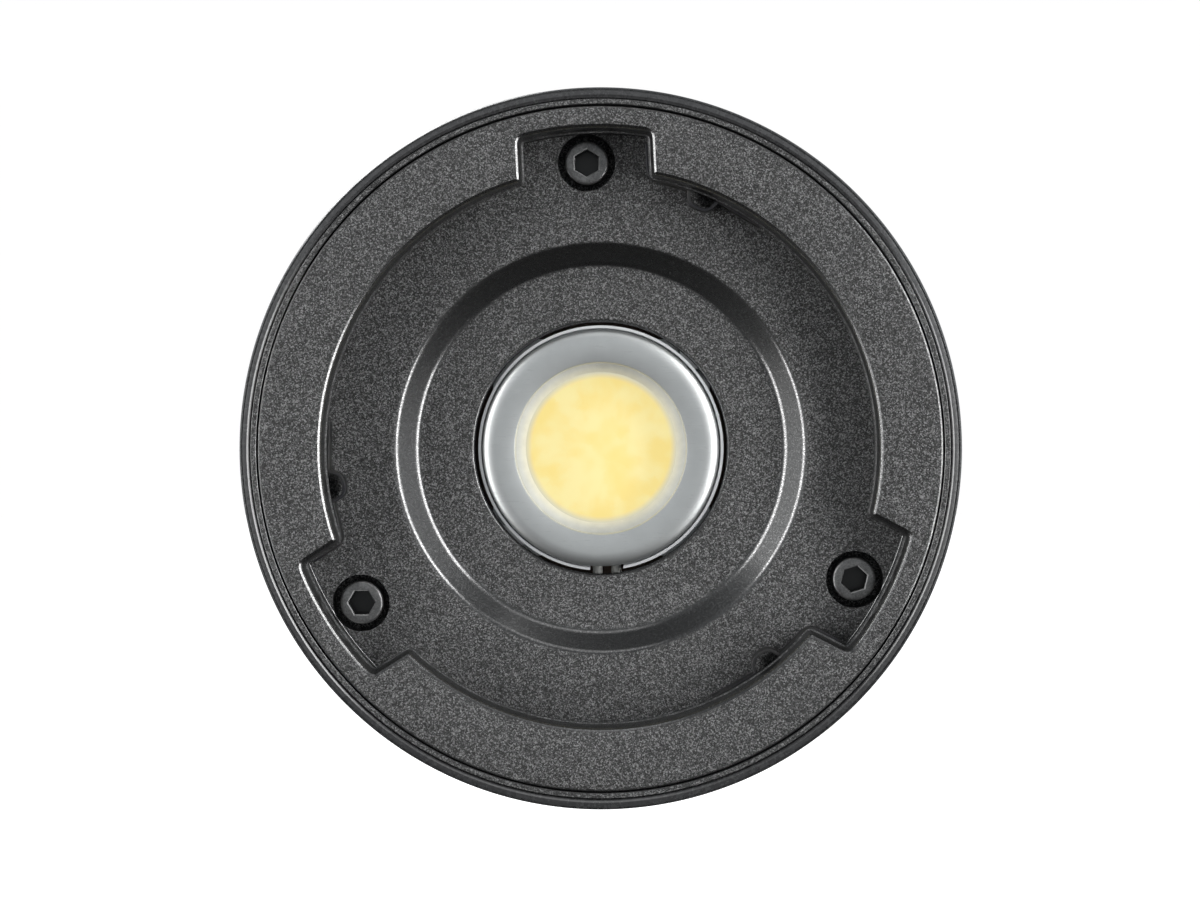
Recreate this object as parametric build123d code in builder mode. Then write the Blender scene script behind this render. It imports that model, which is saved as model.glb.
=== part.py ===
from build123d import *
from math import atan2, cos, degrees, hypot, radians, sin, sqrt
import os

# A compact round LED spotlight head. The optical axis is the Y axis and the light leaves towards -Y.
# The origin is the centre of the bayonet ring's front face, +Z is up, and sizes are in millimetres.
# "Depth" is the distance behind the ring's face, and angles turn anticlockwise from +X, seen from the front.

# ------------------------------------------------------------------ driving dimensions
rim_dia = 90.0  # outside of the front collar
body_length = 122.0  # ring face to the rear cover's back face
barrel_step = 4.0  # how much smaller in radius the barrel is than the collar
barrel_wall = 2.0
ring_band = 10.5  # rim to the bayonet ring's inner edge
lug_depth = 5.2  # how far a lug window reaches into the ring
window_width = 16.0  # across one lug window
lug_angle = 92.8  # middle of the top lug window
lug_count = 3
ring_thick = 2.6
channel_depth = 3.4  # room for the lugs behind the ring
recess_drop = 2.7  # the dish's middle lies this much deeper than its outer floor
light_dia = 19.5  # the light-emitting area
pivot_depth = 62.0  # the yoke's pivot
slip = 0.1  # between pieces that are pushed together
bearing_gap = 0.05  # radial, for a pin or thread that turns in its hole
free_gap = 0.3  # between pieces that move past each other
m2_r = 1.0
m3_r = 1.5
m6_r = 3.0

# ------------------------------------------------------------------ sizes that follow from them
rim_r = rim_dia / 2
barrel_r = rim_r - barrel_step
bore_r = barrel_r - barrel_wall
bayonet_r = rim_r - ring_band
window_r = bayonet_r + lug_depth
face_screw_r = bayonet_r + 1.7
floor_depth = ring_thick + channel_depth
recess_depth = floor_depth + recess_drop
lug_angles = [lug_angle + 360 / lug_count * i for i in range(lug_count)]
between_angles = [angle + 180 / lug_count for angle in lug_angles]
lead_angle = lug_angle + 180  # the leads run along the bottom
light_r = light_dia / 2
dam_r = light_r + 1.8
cap_open_r = light_r + 1.17
cap_flat_r = cap_open_r + 2.37
cap_shoulder_r = cap_flat_r + 1.81
holder_r = cap_shoulder_r + 0.6
light_hole_r = holder_r + 0.4


def across(depth):
    """The plane across the optical axis at a depth, seen from the front."""
    return Plane.XZ.offset(-depth)


def polar(radius, angle):
    """A point on such a plane."""
    return (radius * cos(radians(angle)), radius * sin(radians(angle)))


def annulus(depth, outer, inner=0.0):
    """A ring or a disc about the optical axis."""
    with BuildSketch(across(depth)) as shape:
        Circle(outer)
        if inner > 0:
            Circle(inner, mode=Mode.SUBTRACT)
    return shape.sketch


def dots(depth, radius, places):
    """One circle at each (radius from the axis, angle) place."""
    with BuildSketch(across(depth)) as shape:
        with Locations(*[polar(*place) for place in places]):
            Circle(radius)
    return shape.sketch


def at(distance, angles):
    """Places at one distance from the axis."""
    return [(distance, angle) for angle in angles]


def half_section(*points):
    """A closed outline of (depth, radius) points, to be turned about the optical axis."""
    with BuildSketch(Plane.YZ) as shape:
        with BuildLine():
            Polyline(*points, close=True)
        make_face()
    return shape.sketch


def pivot_ring(side, start, end, outer, inner=0.0):
    """A round piece about the pivot axis on one side, between two distances from the middle."""
    with BuildSketch(Plane.YZ.offset(side * start)) as shape:
        with Locations((pivot_depth, 0)):
            Circle(outer)
            if inner > 0:
                Circle(inner, mode=Mode.SUBTRACT)
    return extrude(shape.sketch, amount=side * (end - start), mode=Mode.PRIVATE)


def finish(piece, name):
    """Names a finished piece and writes it."""
    piece.part.label = name
    export_step(piece.part, f"parts/{name}.step")


os.makedirs("parts", exist_ok=True)

# ------------------------------------------------------------------ bayonet ring
# Three windows let an accessory's lugs in, and the posts on its back carry the detent springs.
lip_wall = 0.8  # the casting's lip round the ring
collar_wall = 1.35
lip_r = rim_r - collar_wall - slip
ring_outer_r = lip_r - lip_wall - slip
spring_thick = 0.4
spring_width = 2.5
spring_bend_r = 1.05  # middle of the strip round its post
spring_play = 0.1  # strip to the window's side
post_r = spring_bend_r - spring_thick / 2 - bearing_gap
ring_screw_r = (window_r + ring_outer_r) / 2 + 0.1
ring_screw_tip = 1.1  # depth of the tip of the screws that hold the ring
edge_round = 0.25


def spring_points():
    """The leaf's middle line as (sideways, outwards) points from its window's middle line, clockwise."""
    side = window_width / 2 - spring_play - spring_thick / 2
    corner = (side, sqrt((bayonet_r + 0.1) ** 2 - side**2))
    leg = (side, corner[1] + 4.2)
    bump = [(21.7, 0.35), (22.6, 2.0), (27.2, 2.0), (28.1, 0.35)]
    free_end = (38.6, 0.35)
    return [leg, corner] + [polar(bayonet_r - inset, 90 - angle) for angle, inset in bump + [free_end]]


def spring_centre():
    """The middle of the leaf's first bend, which is its post's middle and its hinge."""
    leg, corner, bump_start = [Vector(*point) for point in spring_points()[:3]]
    up_leg = (leg - corner).normalized()
    along_leaf = (bump_start - corner).normalized()
    half_angle = radians(up_leg.get_angle(along_leaf)) / 2
    return corner + (up_leg + along_leaf).normalized() * (spring_bend_r / sin(half_angle))


post_place = spring_centre()
post_distance = hypot(post_place.X, post_place.Y)
post_angles = [angle - degrees(atan2(post_place.X, post_place.Y)) for angle in lug_angles]


def window_sketch(depth):
    """The lug windows, cut outwards from the ring's middle to the window radius."""
    with BuildSketch(across(depth)) as shape:
        with PolarLocations(0, lug_count, start_angle=lug_angle):
            with Locations((window_r / 2, 0)):
                Rectangle(window_r, window_width)
        Circle(window_r, mode=Mode.INTERSECT)
    return shape.sketch


def is_window_corner(edge):
    """True for an edge at a window's corner, and not for a seam of the ring's own cylinders."""
    middle = edge.center()
    return abs(middle.Z) > 0.01 and hypot(middle.X, middle.Z) < window_r + 0.1


with BuildPart() as bayonet_ring:
    extrude(annulus(0, ring_outer_r, bayonet_r), amount=-ring_thick)
    extrude(window_sketch(0), amount=-ring_thick, mode=Mode.SUBTRACT)
    window_corners = bayonet_ring.edges().filter_by(Axis.Y).filter_by(is_window_corner)
    fillet(window_corners, 0.6)
    front_edges = bayonet_ring.faces().sort_by(Axis.Y)[0].edges()
    fillet(front_edges, edge_round)
    extrude(dots(ring_thick, post_r, at(post_distance, post_angles)), amount=-(spring_width + free_gap))
    extrude(
        dots(ring_screw_tip, m2_r + bearing_gap, at(ring_screw_r, between_angles)),
        amount=-(ring_thick - ring_screw_tip),
        mode=Mode.SUBTRACT,
    )
finish(bayonet_ring, "bayonet_ring")

# ------------------------------------------------------------------ detent springs
# Each is a steel leaf folded round a post. Its bump clicks into the accessory and its end is free.
spring_depth = ring_thick + free_gap
spring_names = ["top", "left", "right"]
for place_name, window_angle in zip(spring_names, lug_angles):
    sideways, along = polar(1, window_angle - 90)
    window_plane = Plane(origin=(0, spring_depth, 0), x_dir=(sideways, 0, along), z_dir=(0, -1, 0))
    with BuildPart() as spring:
        with BuildSketch(window_plane) as strip:
            with BuildLine():
                FilletPolyline(*spring_points(), radius=[spring_bend_r, 0.5, 1.1, 1.1, 0.5])
            trace(line_width=spring_thick)
        extrude(amount=-spring_width)
    finish(spring, f"detent_spring_{place_name}")

# ------------------------------------------------------------------ front casting
# A die-cast ring. Its lip and ledge hold the bayonet ring, and its back sits on the barrel's flange.
floor_thick = 1.8
web_thick = floor_thick + 0.8
recess_r = 23.3
slope_run = 2.75  # the slope from the outer floor down to the recess
well_r = recess_r + slope_run
press_gap = 0.02
well_land = 0.15
well_flange = 1.4
ledge_r = window_r + 0.2
collar_flange = 2.0
seat_depth = 16.0  # where the casting meets the barrel's flange
seat_inner_r = face_screw_r - 5.2
flange_back = seat_depth - collar_flange
head_r = 2.75  # M3 socket head
head_high = 3.0
pocket_r = 3.62
pocket_depth = floor_depth + head_high + 0.2
ring_screw_head_r = 1.9
ring_screw_head_high = 1.6
with BuildPart() as front_casting:
    revolve(
        half_section(
            (0.15, lip_r),
            (0.0, lip_r - 0.15),
            (0.0, ring_outer_r + slip + 0.15),
            (0.15, ring_outer_r + slip),
            (ring_thick, ring_outer_r + slip),
            (ring_thick, ledge_r),
            (floor_depth, ledge_r),
            (floor_depth, well_r + press_gap),
            (floor_depth + web_thick, well_r + press_gap),
            (floor_depth + web_thick, seat_inner_r),
            (seat_depth, seat_inner_r),
            (seat_depth, bore_r - slip),
            (flange_back, bore_r - slip),
            (flange_back, lip_r),
        ),
        axis=Axis.Y,
    )
    extrude(
        dots(floor_depth, pocket_r, at(face_screw_r, lug_angles)),
        amount=-(pocket_depth - floor_depth),
        mode=Mode.SUBTRACT,
    )
    extrude(
        dots(pocket_depth, m3_r + slip, at(face_screw_r, lug_angles)),
        amount=-(seat_depth - pocket_depth),
        mode=Mode.SUBTRACT,
    )
    extrude(
        dots(ring_thick, m2_r + slip, at(ring_screw_r, between_angles)),
        amount=-(flange_back - ring_thick),
        mode=Mode.SUBTRACT,
    )
    extrude(
        dots(flange_back - ring_screw_head_high, ring_screw_head_r + slip, at(ring_screw_r, between_angles)),
        amount=-ring_screw_head_high,
        mode=Mode.SUBTRACT,
    )
finish(front_casting, "front_casting")

# The dish's middle is a separate cup. It is pressed in from behind, up to the flange on its back.
with BuildPart() as light_well:
    revolve(
        half_section(
            (floor_depth, well_r - well_land),
            (recess_depth, recess_r - well_land),
            (recess_depth, light_hole_r),
            (recess_depth + floor_thick, light_hole_r),
            (recess_depth + floor_thick, well_r + well_flange),
            (floor_depth + web_thick, well_r + well_flange),
            (floor_depth + web_thick, well_r),
            (floor_depth, well_r),
        ),
        axis=Axis.Y,
    )
    well_edges = light_well.edges().filter_by(GeomType.CIRCLE)
    fillet(well_edges.filter_by(lambda edge: abs(edge.radius - light_hole_r) < 0.01).sort_by(Axis.Y)[0], 0.5)
finish(light_well, "light_well")

# The smooth collar round the casting, whose rear flange is clamped against the barrel.
collar_front = 0.3
with BuildPart() as trim_collar:
    revolve(
        half_section(
            (collar_front, lip_r + slip),
            (collar_front, rim_r),
            (seat_depth, rim_r),
            (seat_depth, bore_r),
            (flange_back, bore_r),
            (flange_back, lip_r + slip),
        ),
        axis=Axis.Y,
    )
    collar_edges = trim_collar.edges().filter_by(GeomType.CIRCLE)
    fillet(collar_edges.group_by(Axis.Y)[0], 0.45)
    fillet(collar_edges.filter_by(lambda edge: abs(edge.radius - rim_r) < 0.01).sort_by(Axis.Y)[-1], 1.4)
finish(trim_collar, "trim_collar")


# ------------------------------------------------------------------ screws along the optical axis
def screws(name, places, head_front, head_back, head_radius, shank_radius, tip, hex_flats=0.0, twists=None):
    """A group of cap screws. The head lies between two depths, and the shank runs on to the tip."""
    outward = 1 if tip > head_back else -1
    with BuildPart() as group:
        extrude(dots(head_front, head_radius, places), amount=-(head_back - head_front))
        chamfer(group.faces().sort_by(Axis.Y)[0 if outward > 0 else -1].edges(), 0.2)
        for place, twist in zip(places, twists or [0] * len(places)):
            open_face = head_front if outward > 0 else head_back
            with BuildSketch(across(open_face)) as key:
                with Locations(polar(*place)):
                    RegularPolygon(hex_flats / 2, 6, major_radius=False, rotation=twist)
            extrude(key.sketch, amount=-outward * (head_back - head_front) * 0.6, mode=Mode.SUBTRACT)
        near = head_back if outward > 0 else head_front
        extrude(dots(near, shank_radius, places), amount=-(tip - near))
    finish(group, name)


face_screw_twists = [90 - 60, 0, 17]
screws(
    "face_screws",
    at(face_screw_r, lug_angles),
    pocket_depth - head_high,
    pocket_depth,
    head_r,
    m3_r - bearing_gap,
    seat_depth + 3.4,
    hex_flats=3.0,
    twists=face_screw_twists,
)
screws(
    "ring_screws",
    at(ring_screw_r, between_angles),
    flange_back - ring_screw_head_high,
    flange_back,
    ring_screw_head_r,
    m2_r,
    ring_screw_tip + 0.2,
    hex_flats=1.3,
)

# ------------------------------------------------------------------ LED module
# The array is clamped on the heat spreader by a plastic holder, and a spun cap covers all but the light.
spreader_front = 13.6
pad_thick = 0.3
substrate_thick = 1.0
dam_high = 0.7
cap_shoulder_deep = 0.9
cap_front = 7.5
cap_sheet = 0.5
holder_wall = 0.35
holder_front = 9.1
clamp_r = holder_r + 1.5  # the clamp screws, on the array's diagonal
clamp_angles = [45, 225]
substrate_side = 1.628 * clamp_r
clamp_shank_r = 1.2
clamp_head_r = 2.2
array_face = spreader_front - pad_thick - substrate_thick
holder_base = array_face - 1.4
lead_spread = 1.2
lead_r = 0.65


def array_plate(depth, thick):
    """The array's square outline with its two clamp holes."""
    with BuildPart() as plate:
        with BuildSketch(across(depth)) as outline:
            RectangleRounded(substrate_side, substrate_side, 1.0)
        extrude(outline.sketch, amount=-thick)
        clamp_holes = dots(depth, clamp_shank_r + slip, at(clamp_r, clamp_angles))
        extrude(clamp_holes, amount=-thick, mode=Mode.SUBTRACT)
    return plate


finish(array_plate(spreader_front - pad_thick, pad_thick), "thermal_pad")
finish(array_plate(array_face, substrate_thick), "cob_substrate")

with BuildPart() as cob_phosphor:
    extrude(annulus(array_face - dam_high + 0.1, light_r), amount=-(dam_high - 0.1))
finish(cob_phosphor, "cob_phosphor")

with BuildPart() as cob_dam:
    extrude(annulus(array_face - dam_high, dam_r, light_r), amount=-dam_high)
    fillet(cob_dam.faces().sort_by(Axis.Y)[0].edges(), 0.3)
finish(cob_dam, "cob_dam")

with BuildPart() as cob_holder:
    extrude(annulus(holder_base, holder_r, dam_r + 0.4), amount=-(array_face - holder_base))
    for clamp_angle in clamp_angles:
        with BuildSketch(across(holder_base)) as ear:
            with Locations(polar(clamp_r, clamp_angle)):
                Circle(clamp_head_r + 0.9)
            Circle(dam_r + 2, mode=Mode.SUBTRACT)
        extrude(ear.sketch, amount=-(array_face - holder_base))
    extrude(annulus(holder_front, holder_r, holder_r - holder_wall), amount=-(holder_base - holder_front))
    with BuildSketch(across(holder_front)) as lead_gap:
        with PolarLocations(holder_r - 1.5, 1, start_angle=lead_angle):
            Rectangle(6.0, 2 * (lead_spread + lead_r) + 0.6)
    extrude(lead_gap.sketch, amount=-(array_face - holder_front), mode=Mode.SUBTRACT)
    extrude(
        dots(holder_base, clamp_head_r + slip, at(clamp_r, clamp_angles)), amount=-1.0, mode=Mode.SUBTRACT
    )
    extrude(
        dots(holder_base + 1.0, clamp_shank_r + slip, at(clamp_r, clamp_angles)),
        amount=-(array_face - holder_base - 1.0),
        mode=Mode.SUBTRACT,
    )
finish(cob_holder, "cob_holder")

with BuildPart() as led_cap:
    with BuildSketch(Plane.YZ):
        with BuildLine():
            Line((cap_front, cap_open_r), (cap_front, cap_flat_r))
            EllipticalCenterArc(
                (cap_front + cap_shoulder_deep, cap_flat_r),
                cap_shoulder_deep,
                cap_shoulder_r - cap_flat_r,
                start_angle=90,
                arc_size=90,
            )
            Polyline(
                (cap_front + cap_shoulder_deep, cap_shoulder_r),
                (holder_base, cap_shoulder_r),
                (holder_base, cap_shoulder_r - cap_sheet),
                (cap_front + cap_shoulder_deep, cap_shoulder_r - cap_sheet),
            )
            EllipticalCenterArc(
                (cap_front + cap_shoulder_deep, cap_flat_r),
                cap_shoulder_deep - cap_sheet,
                cap_shoulder_r - cap_flat_r - cap_sheet,
                start_angle=90,
                arc_size=90,
            )
            Polyline(
                (cap_front + cap_sheet, cap_flat_r),
                (cap_front + cap_sheet, cap_open_r),
                (cap_front, cap_open_r),
            )
        make_face()
    revolve(axis=Axis.Y)
finish(led_cap, "led_cap")

screws(
    "cob_screws",
    at(clamp_r, clamp_angles),
    holder_base,
    holder_base + 1.0,
    clamp_head_r,
    clamp_shank_r,
    spreader_front + 4.0,
    hex_flats=1.5,
)

# ------------------------------------------------------------------ heat spreader and heatsink
# The copper spreader reaches forward through the barrel's flange, and the finned sink cools it.
flange_thick = 4.0
sink_front = seat_depth + flange_thick
sink_base = 4.0
sink_back = pivot_depth - 8.0
sink_r = bore_r - 0.6
sink_core_r = 12.0
fin_count = 24
fin_thick = 1.2
spreader_r = seat_inner_r - 0.5
spreader_screw_r = 24.6
spreader_angles = [angle + 15 for angle in between_angles]
lead_hole_r = 2.7
lead_drop = spreader_r - 3.5  # the leads pass the spreader here
sink_screw_r = bore_r - 4.5
sink_screw_angles = [angle - 30 for angle in lug_angles]
standoff_r = 2.3
standoff_place = bore_r - 2.9

with BuildPart() as heat_spreader:
    extrude(annulus(spreader_front, spreader_r), amount=-(sink_front - spreader_front))
    extrude(dots(spreader_front, lead_hole_r, [(lead_drop, lead_angle)]), amount=-20, mode=Mode.SUBTRACT)
    extrude(
        dots(spreader_front, clamp_shank_r + bearing_gap, at(clamp_r, clamp_angles)),
        amount=-4.5,
        mode=Mode.SUBTRACT,
    )
    extrude(
        dots(spreader_front, head_r + slip, at(spreader_screw_r, spreader_angles)),
        amount=-(head_high + 0.2),
        mode=Mode.SUBTRACT,
    )
    extrude(
        dots(spreader_front, m3_r + slip, at(spreader_screw_r, spreader_angles)),
        amount=-20,
        mode=Mode.SUBTRACT,
    )
finish(heat_spreader, "heat_spreader")

screws(
    "spreader_screws",
    at(spreader_screw_r, spreader_angles),
    spreader_front + 0.2,
    spreader_front + 0.2 + head_high,
    head_r,
    m3_r - bearing_gap,
    sink_front + 3.5,
    hex_flats=2.5,
)

with BuildPart() as heatsink:
    extrude(annulus(sink_front, sink_r), amount=-sink_base)
    extrude(annulus(sink_front + sink_base, sink_core_r), amount=-(sink_back - sink_front - sink_base))
    with BuildSketch(across(sink_front + sink_base)) as fins:
        fin_middle = (sink_core_r + sink_r) / 2 - 0.25
        with PolarLocations(fin_middle, fin_count, start_angle=lead_angle + 180 / fin_count):
            Rectangle(sink_r - sink_core_r + 0.5, fin_thick)
    extrude(fins.sketch, amount=-(sink_back - sink_front - sink_base))
    extrude(dots(sink_front, lead_hole_r, [(lead_drop, lead_angle)]), amount=-sink_base, mode=Mode.SUBTRACT)
    extrude(
        dots(sink_front, m3_r, at(spreader_screw_r, spreader_angles)), amount=-sink_base, mode=Mode.SUBTRACT
    )
    extrude(
        dots(sink_front, m3_r + slip, at(sink_screw_r, sink_screw_angles)),
        amount=-sink_base,
        mode=Mode.SUBTRACT,
    )
finish(heatsink, "heatsink")

screws(
    "heatsink_screws",
    at(sink_screw_r, sink_screw_angles),
    sink_front + sink_base,
    sink_front + sink_base + head_high,
    head_r,
    m3_r - bearing_gap,
    seat_depth + 0.5,
    hex_flats=2.5,
)

# ------------------------------------------------------------------ fan
# An axial fan behind the heatsink, held with both boards by three long bolts.
fan_front = pivot_depth + 8.0
fan_back = fan_front + 14.0
frame_r = bore_r - 0.4
frame_inner_r = frame_r - 5.0
hub_r = 12.5
blade_count = 7
stator_r = 10.8
bearing_r = 3.0
shaft_r = 1.5
base_front = fan_back - 3.0
rotor_front = fan_front + 1.0
rotor_back = base_front - 1.0

with BuildPart() as fan_standoffs:
    places = at(standoff_place, lug_angles)
    extrude(dots(sink_front + sink_base, standoff_r, places), amount=-(fan_front - sink_front - sink_base))
    extrude(dots(fan_front - 6, m3_r, places), amount=-6, mode=Mode.SUBTRACT)
finish(fan_standoffs, "fan_standoffs")

with BuildPart() as fan_frame:
    extrude(annulus(fan_front, frame_r, frame_inner_r), amount=-(fan_back - fan_front))
    extrude(annulus(base_front, hub_r), amount=-(fan_back - base_front))
    with BuildSketch(across(base_front + 0.5)) as struts:
        with PolarLocations((hub_r + frame_inner_r) / 2, 3, start_angle=lug_angle):
            Rectangle(frame_inner_r - hub_r + 1.5, 3.5)
    extrude(struts.sketch, amount=-(fan_back - base_front - 0.5))
    extrude(annulus(fan_front + 3, bearing_r + 1.8), amount=-(base_front - fan_front - 3))
    extrude(annulus(fan_front + 3, bearing_r), amount=-(base_front - fan_front - 3), mode=Mode.SUBTRACT)
    extrude(
        dots(fan_front, m3_r + slip, at(standoff_place, lug_angles)),
        amount=-(fan_back - fan_front),
        mode=Mode.SUBTRACT,
    )
    with BuildSketch(across(fan_front)) as lead_notch:
        with PolarLocations(frame_r, 1, start_angle=lead_angle):
            Rectangle(4.4, 2 * (lead_spread + lead_r) + 0.6)
    extrude(lead_notch.sketch, amount=-(fan_back - fan_front), mode=Mode.SUBTRACT)
finish(fan_frame, "fan_frame")

with BuildPart() as fan_bearing:
    extrude(annulus(fan_front + 3, bearing_r, shaft_r + bearing_gap), amount=-(base_front - fan_front - 3))
finish(fan_bearing, "fan_bearing")

with BuildPart() as fan_stator:
    extrude(annulus(fan_front + 4, stator_r, bearing_r + 1.8), amount=-(base_front - fan_front - 4))
finish(fan_stator, "fan_stator")

with BuildPart() as fan_shaft:
    extrude(annulus(rotor_front, shaft_r), amount=-(base_front - 0.4 - rotor_front))
finish(fan_shaft, "fan_shaft")

with BuildPart() as fan_rotor:
    blade_tip_r = frame_inner_r - 1.0
    blade_mid_r = (hub_r + blade_tip_r) / 2
    extrude(annulus(rotor_front, hub_r, shaft_r), amount=-1.2)
    extrude(annulus(rotor_front, hub_r, stator_r + 0.5), amount=-(rotor_back - rotor_front))
    with Locations(across((rotor_front + rotor_back) / 2)):
        with PolarLocations(blade_mid_r, blade_count):
            Box(blade_tip_r - hub_r + 0.8, 10.0, 1.2, rotation=(35, 0, 0))
    stator_room = annulus(rotor_front + 1.2, stator_r + 0.5)
    extrude(stator_room, amount=-(rotor_back - rotor_front), mode=Mode.SUBTRACT)
finish(fan_rotor, "fan_rotor")

# ------------------------------------------------------------------ boards
driver_front = fan_back + 8.0
board_thick = 1.6
control_front = body_length - 15.0
board_r = bore_r - 0.6
boss_r = 3.0
rear_screw_place = bore_r - boss_r + 0.6
boss_front = control_front - 5.0
rear_front = body_length - 10.0  # the joint between the barrel and the rear cover
control_back = control_front + board_thick
fan_lead_r = 1.0
fan_lead_place = [(8.0, lead_angle)]

with BuildPart() as board_posts:
    places = at(standoff_place, lug_angles)
    extrude(dots(fan_back, standoff_r, places), amount=-(driver_front - fan_back))
    rear_posts = dots(driver_front + board_thick, standoff_r, places)
    extrude(rear_posts, amount=-(control_front - driver_front - board_thick))
    extrude(dots(fan_back, m3_r + slip, places), amount=-(control_front - fan_back), mode=Mode.SUBTRACT)
finish(board_posts, "board_posts")

screws(
    "board_bolts",
    at(standoff_place, lug_angles),
    control_back,
    control_back + 2.0,
    2.4,
    m3_r - bearing_gap,
    fan_front - 5.0,
    hex_flats=2.0,
)

with BuildPart() as driver_board:
    extrude(annulus(driver_front, board_r, 6.0), amount=-board_thick)
    places = at(standoff_place, lug_angles)
    extrude(dots(driver_front, m3_r + slip, places), amount=-board_thick, mode=Mode.SUBTRACT)
finish(driver_board, "driver_board")

with BuildPart() as driver_parts:
    with BuildSketch(across(driver_front + board_thick)) as low_parts:
        with Locations((-18, 12), (-18, -4)):
            RectangleRounded(12, 12, 1.5)
        with Locations((20, 12)):
            Rectangle(14, 6)
    extrude(low_parts.sketch, amount=-7.0)
    with BuildSketch(across(driver_front + board_thick)) as cans:
        with Locations((18, 0), (18, -12), (-4, 20)):
            Circle(4.0)
    extrude(cans.sketch, amount=-9.5)
finish(driver_parts, "driver_parts")

with BuildPart() as board_link:
    with BuildSketch(across(driver_front + board_thick)) as link:
        with Locations((0, -24)):
            Rectangle(20, 5)
    extrude(link.sketch, amount=-(control_front - driver_front - board_thick))
finish(board_link, "board_link")

with BuildPart() as control_board:
    extrude(annulus(control_front, board_r), amount=-board_thick)
    extrude(
        dots(control_front, m3_r + slip, at(standoff_place, lug_angles)),
        amount=-board_thick,
        mode=Mode.SUBTRACT,
    )
    extrude(
        dots(control_front, boss_r + 0.6, at(rear_screw_place, between_angles)),
        amount=-board_thick,
        mode=Mode.SUBTRACT,
    )
finish(control_board, "control_board")

# ------------------------------------------------------------------ leads inside the head
# Two leads run from the array through the spreader, along a fin gap and past the fan to the driver.
lead_depth = array_face - lead_r
outer_run = frame_r - 0.95
lead_route = [
    (lead_depth, dam_r + 1.55),
    (lead_depth, lead_drop),
    (sink_front + 8.0, lead_drop),
    (sink_front + 20.0, outer_run),
    (fan_back + 1.0, outer_run),
    (fan_back + 4.0, outer_run - 3.0),
    (driver_front, outer_run - 3.0),
]
lead_bends = [2.4, 8.0, 8.0, 2.5, 2.5]


def lead_at(side):
    """One lead, at one side of the plane that holds the optical axis and the lead angle."""
    out = Vector(cos(radians(lead_angle)), 0, sin(radians(lead_angle)))
    sideways = out.cross(Vector(0, 1, 0)) * side
    points = [sideways + out * radius + Vector(0, depth, 0) for depth, radius in lead_route]
    with BuildPart() as lead:
        with BuildLine() as route:
            FilletPolyline(*points, radius=lead_bends)
        with BuildSketch(Plane(origin=points[0], z_dir=out)) as section:
            Circle(lead_r)
        sweep(section.sketch, path=route.line)
    return lead.part


with BuildPart() as led_leads:
    for lead_side in (-lead_spread, lead_spread):
        add(lead_at(lead_side))
finish(led_leads, "led_leads")

with BuildPart() as fan_lead:
    extrude(dots(fan_back, fan_lead_r, fan_lead_place), amount=-(driver_front - fan_back))
finish(fan_lead, "fan_lead")

# ------------------------------------------------------------------ barrel
# An aluminium tube with a front flange, vent slots, a pivot boss on each side and rear screw bosses.
slot_wide = 2.4
slot_long = 17.0
slot_count = 30
vent_depths = [sink_front + 14.0, driver_front + 3.0]
pivot_pad_r = 10.5  # outside the barrel
pivot_neck_r = 6.4  # inside the barrel
pivot_face = barrel_r + 0.7
pivot_pad_back = bore_r - 3.0
insert_r = 4.8
washer_gap = bearing_gap
washer_thick = 0.6

with BuildPart() as barrel_shell:
    extrude(annulus(seat_depth, barrel_r, seat_inner_r), amount=-flange_thick)
    extrude(annulus(sink_front, barrel_r), amount=-(rear_front - sink_front))
    with Locations(Location((0, pivot_depth, 0), (0, 90, 0))):
        Cylinder(pivot_pad_r, 2 * pivot_face)
    extrude(annulus(sink_front, bore_r), amount=-(rear_front - sink_front), mode=Mode.SUBTRACT)
    for pivot_side in (-1, 1):
        add(pivot_ring(pivot_side, pivot_pad_back, barrel_r, pivot_neck_r))
    extrude(dots(boss_front, boss_r, at(rear_screw_place, between_angles)), amount=-(rear_front - boss_front))
    for vent_depth in vent_depths:
        with Locations(Location((0, vent_depth, 0), (-90, 0, 0))):
            with PolarLocations(barrel_r, slot_count, start_angle=180 / slot_count):
                Box(3 * barrel_wall, slot_wide, slot_long, mode=Mode.SUBTRACT)
    with Locations(Location((0, pivot_depth, 0), (0, 90, 0))):
        Cylinder(insert_r, 2 * pivot_face, mode=Mode.SUBTRACT)
    extrude(
        dots(boss_front, 1.25, at(rear_screw_place, between_angles)),
        amount=-(rear_front - boss_front),
        mode=Mode.SUBTRACT,
    )
    extrude(
        dots(seat_depth, m3_r, at(face_screw_r, lug_angles)), amount=-flange_thick, mode=Mode.SUBTRACT
    )
    extrude(
        dots(seat_depth, m3_r, at(sink_screw_r, sink_screw_angles)), amount=-flange_thick, mode=Mode.SUBTRACT
    )
finish(barrel_shell, "barrel_shell")


# ------------------------------------------------------------------ pieces along the pivot axis
arm_thick = 3.0
arm_width = 18.0
shoulder_r = 4.0
arm_inside = pivot_face + washer_thick + 2 * washer_gap
arm_outside = arm_inside + arm_thick

with BuildPart() as pivot_inserts:
    for pivot_side in (-1, 1):
        add(pivot_ring(pivot_side, pivot_pad_back, pivot_face, insert_r, m6_r))
finish(pivot_inserts, "pivot_inserts")

with BuildPart() as pivot_washers:
    for pivot_side in (-1, 1):
        add(
            pivot_ring(
                pivot_side,
                pivot_face + washer_gap / 2,
                pivot_face + washer_gap / 2 + washer_thick,
                arm_width / 2 - 0.5,
                shoulder_r + free_gap,
            )
        )
finish(pivot_washers, "pivot_washers")

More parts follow.
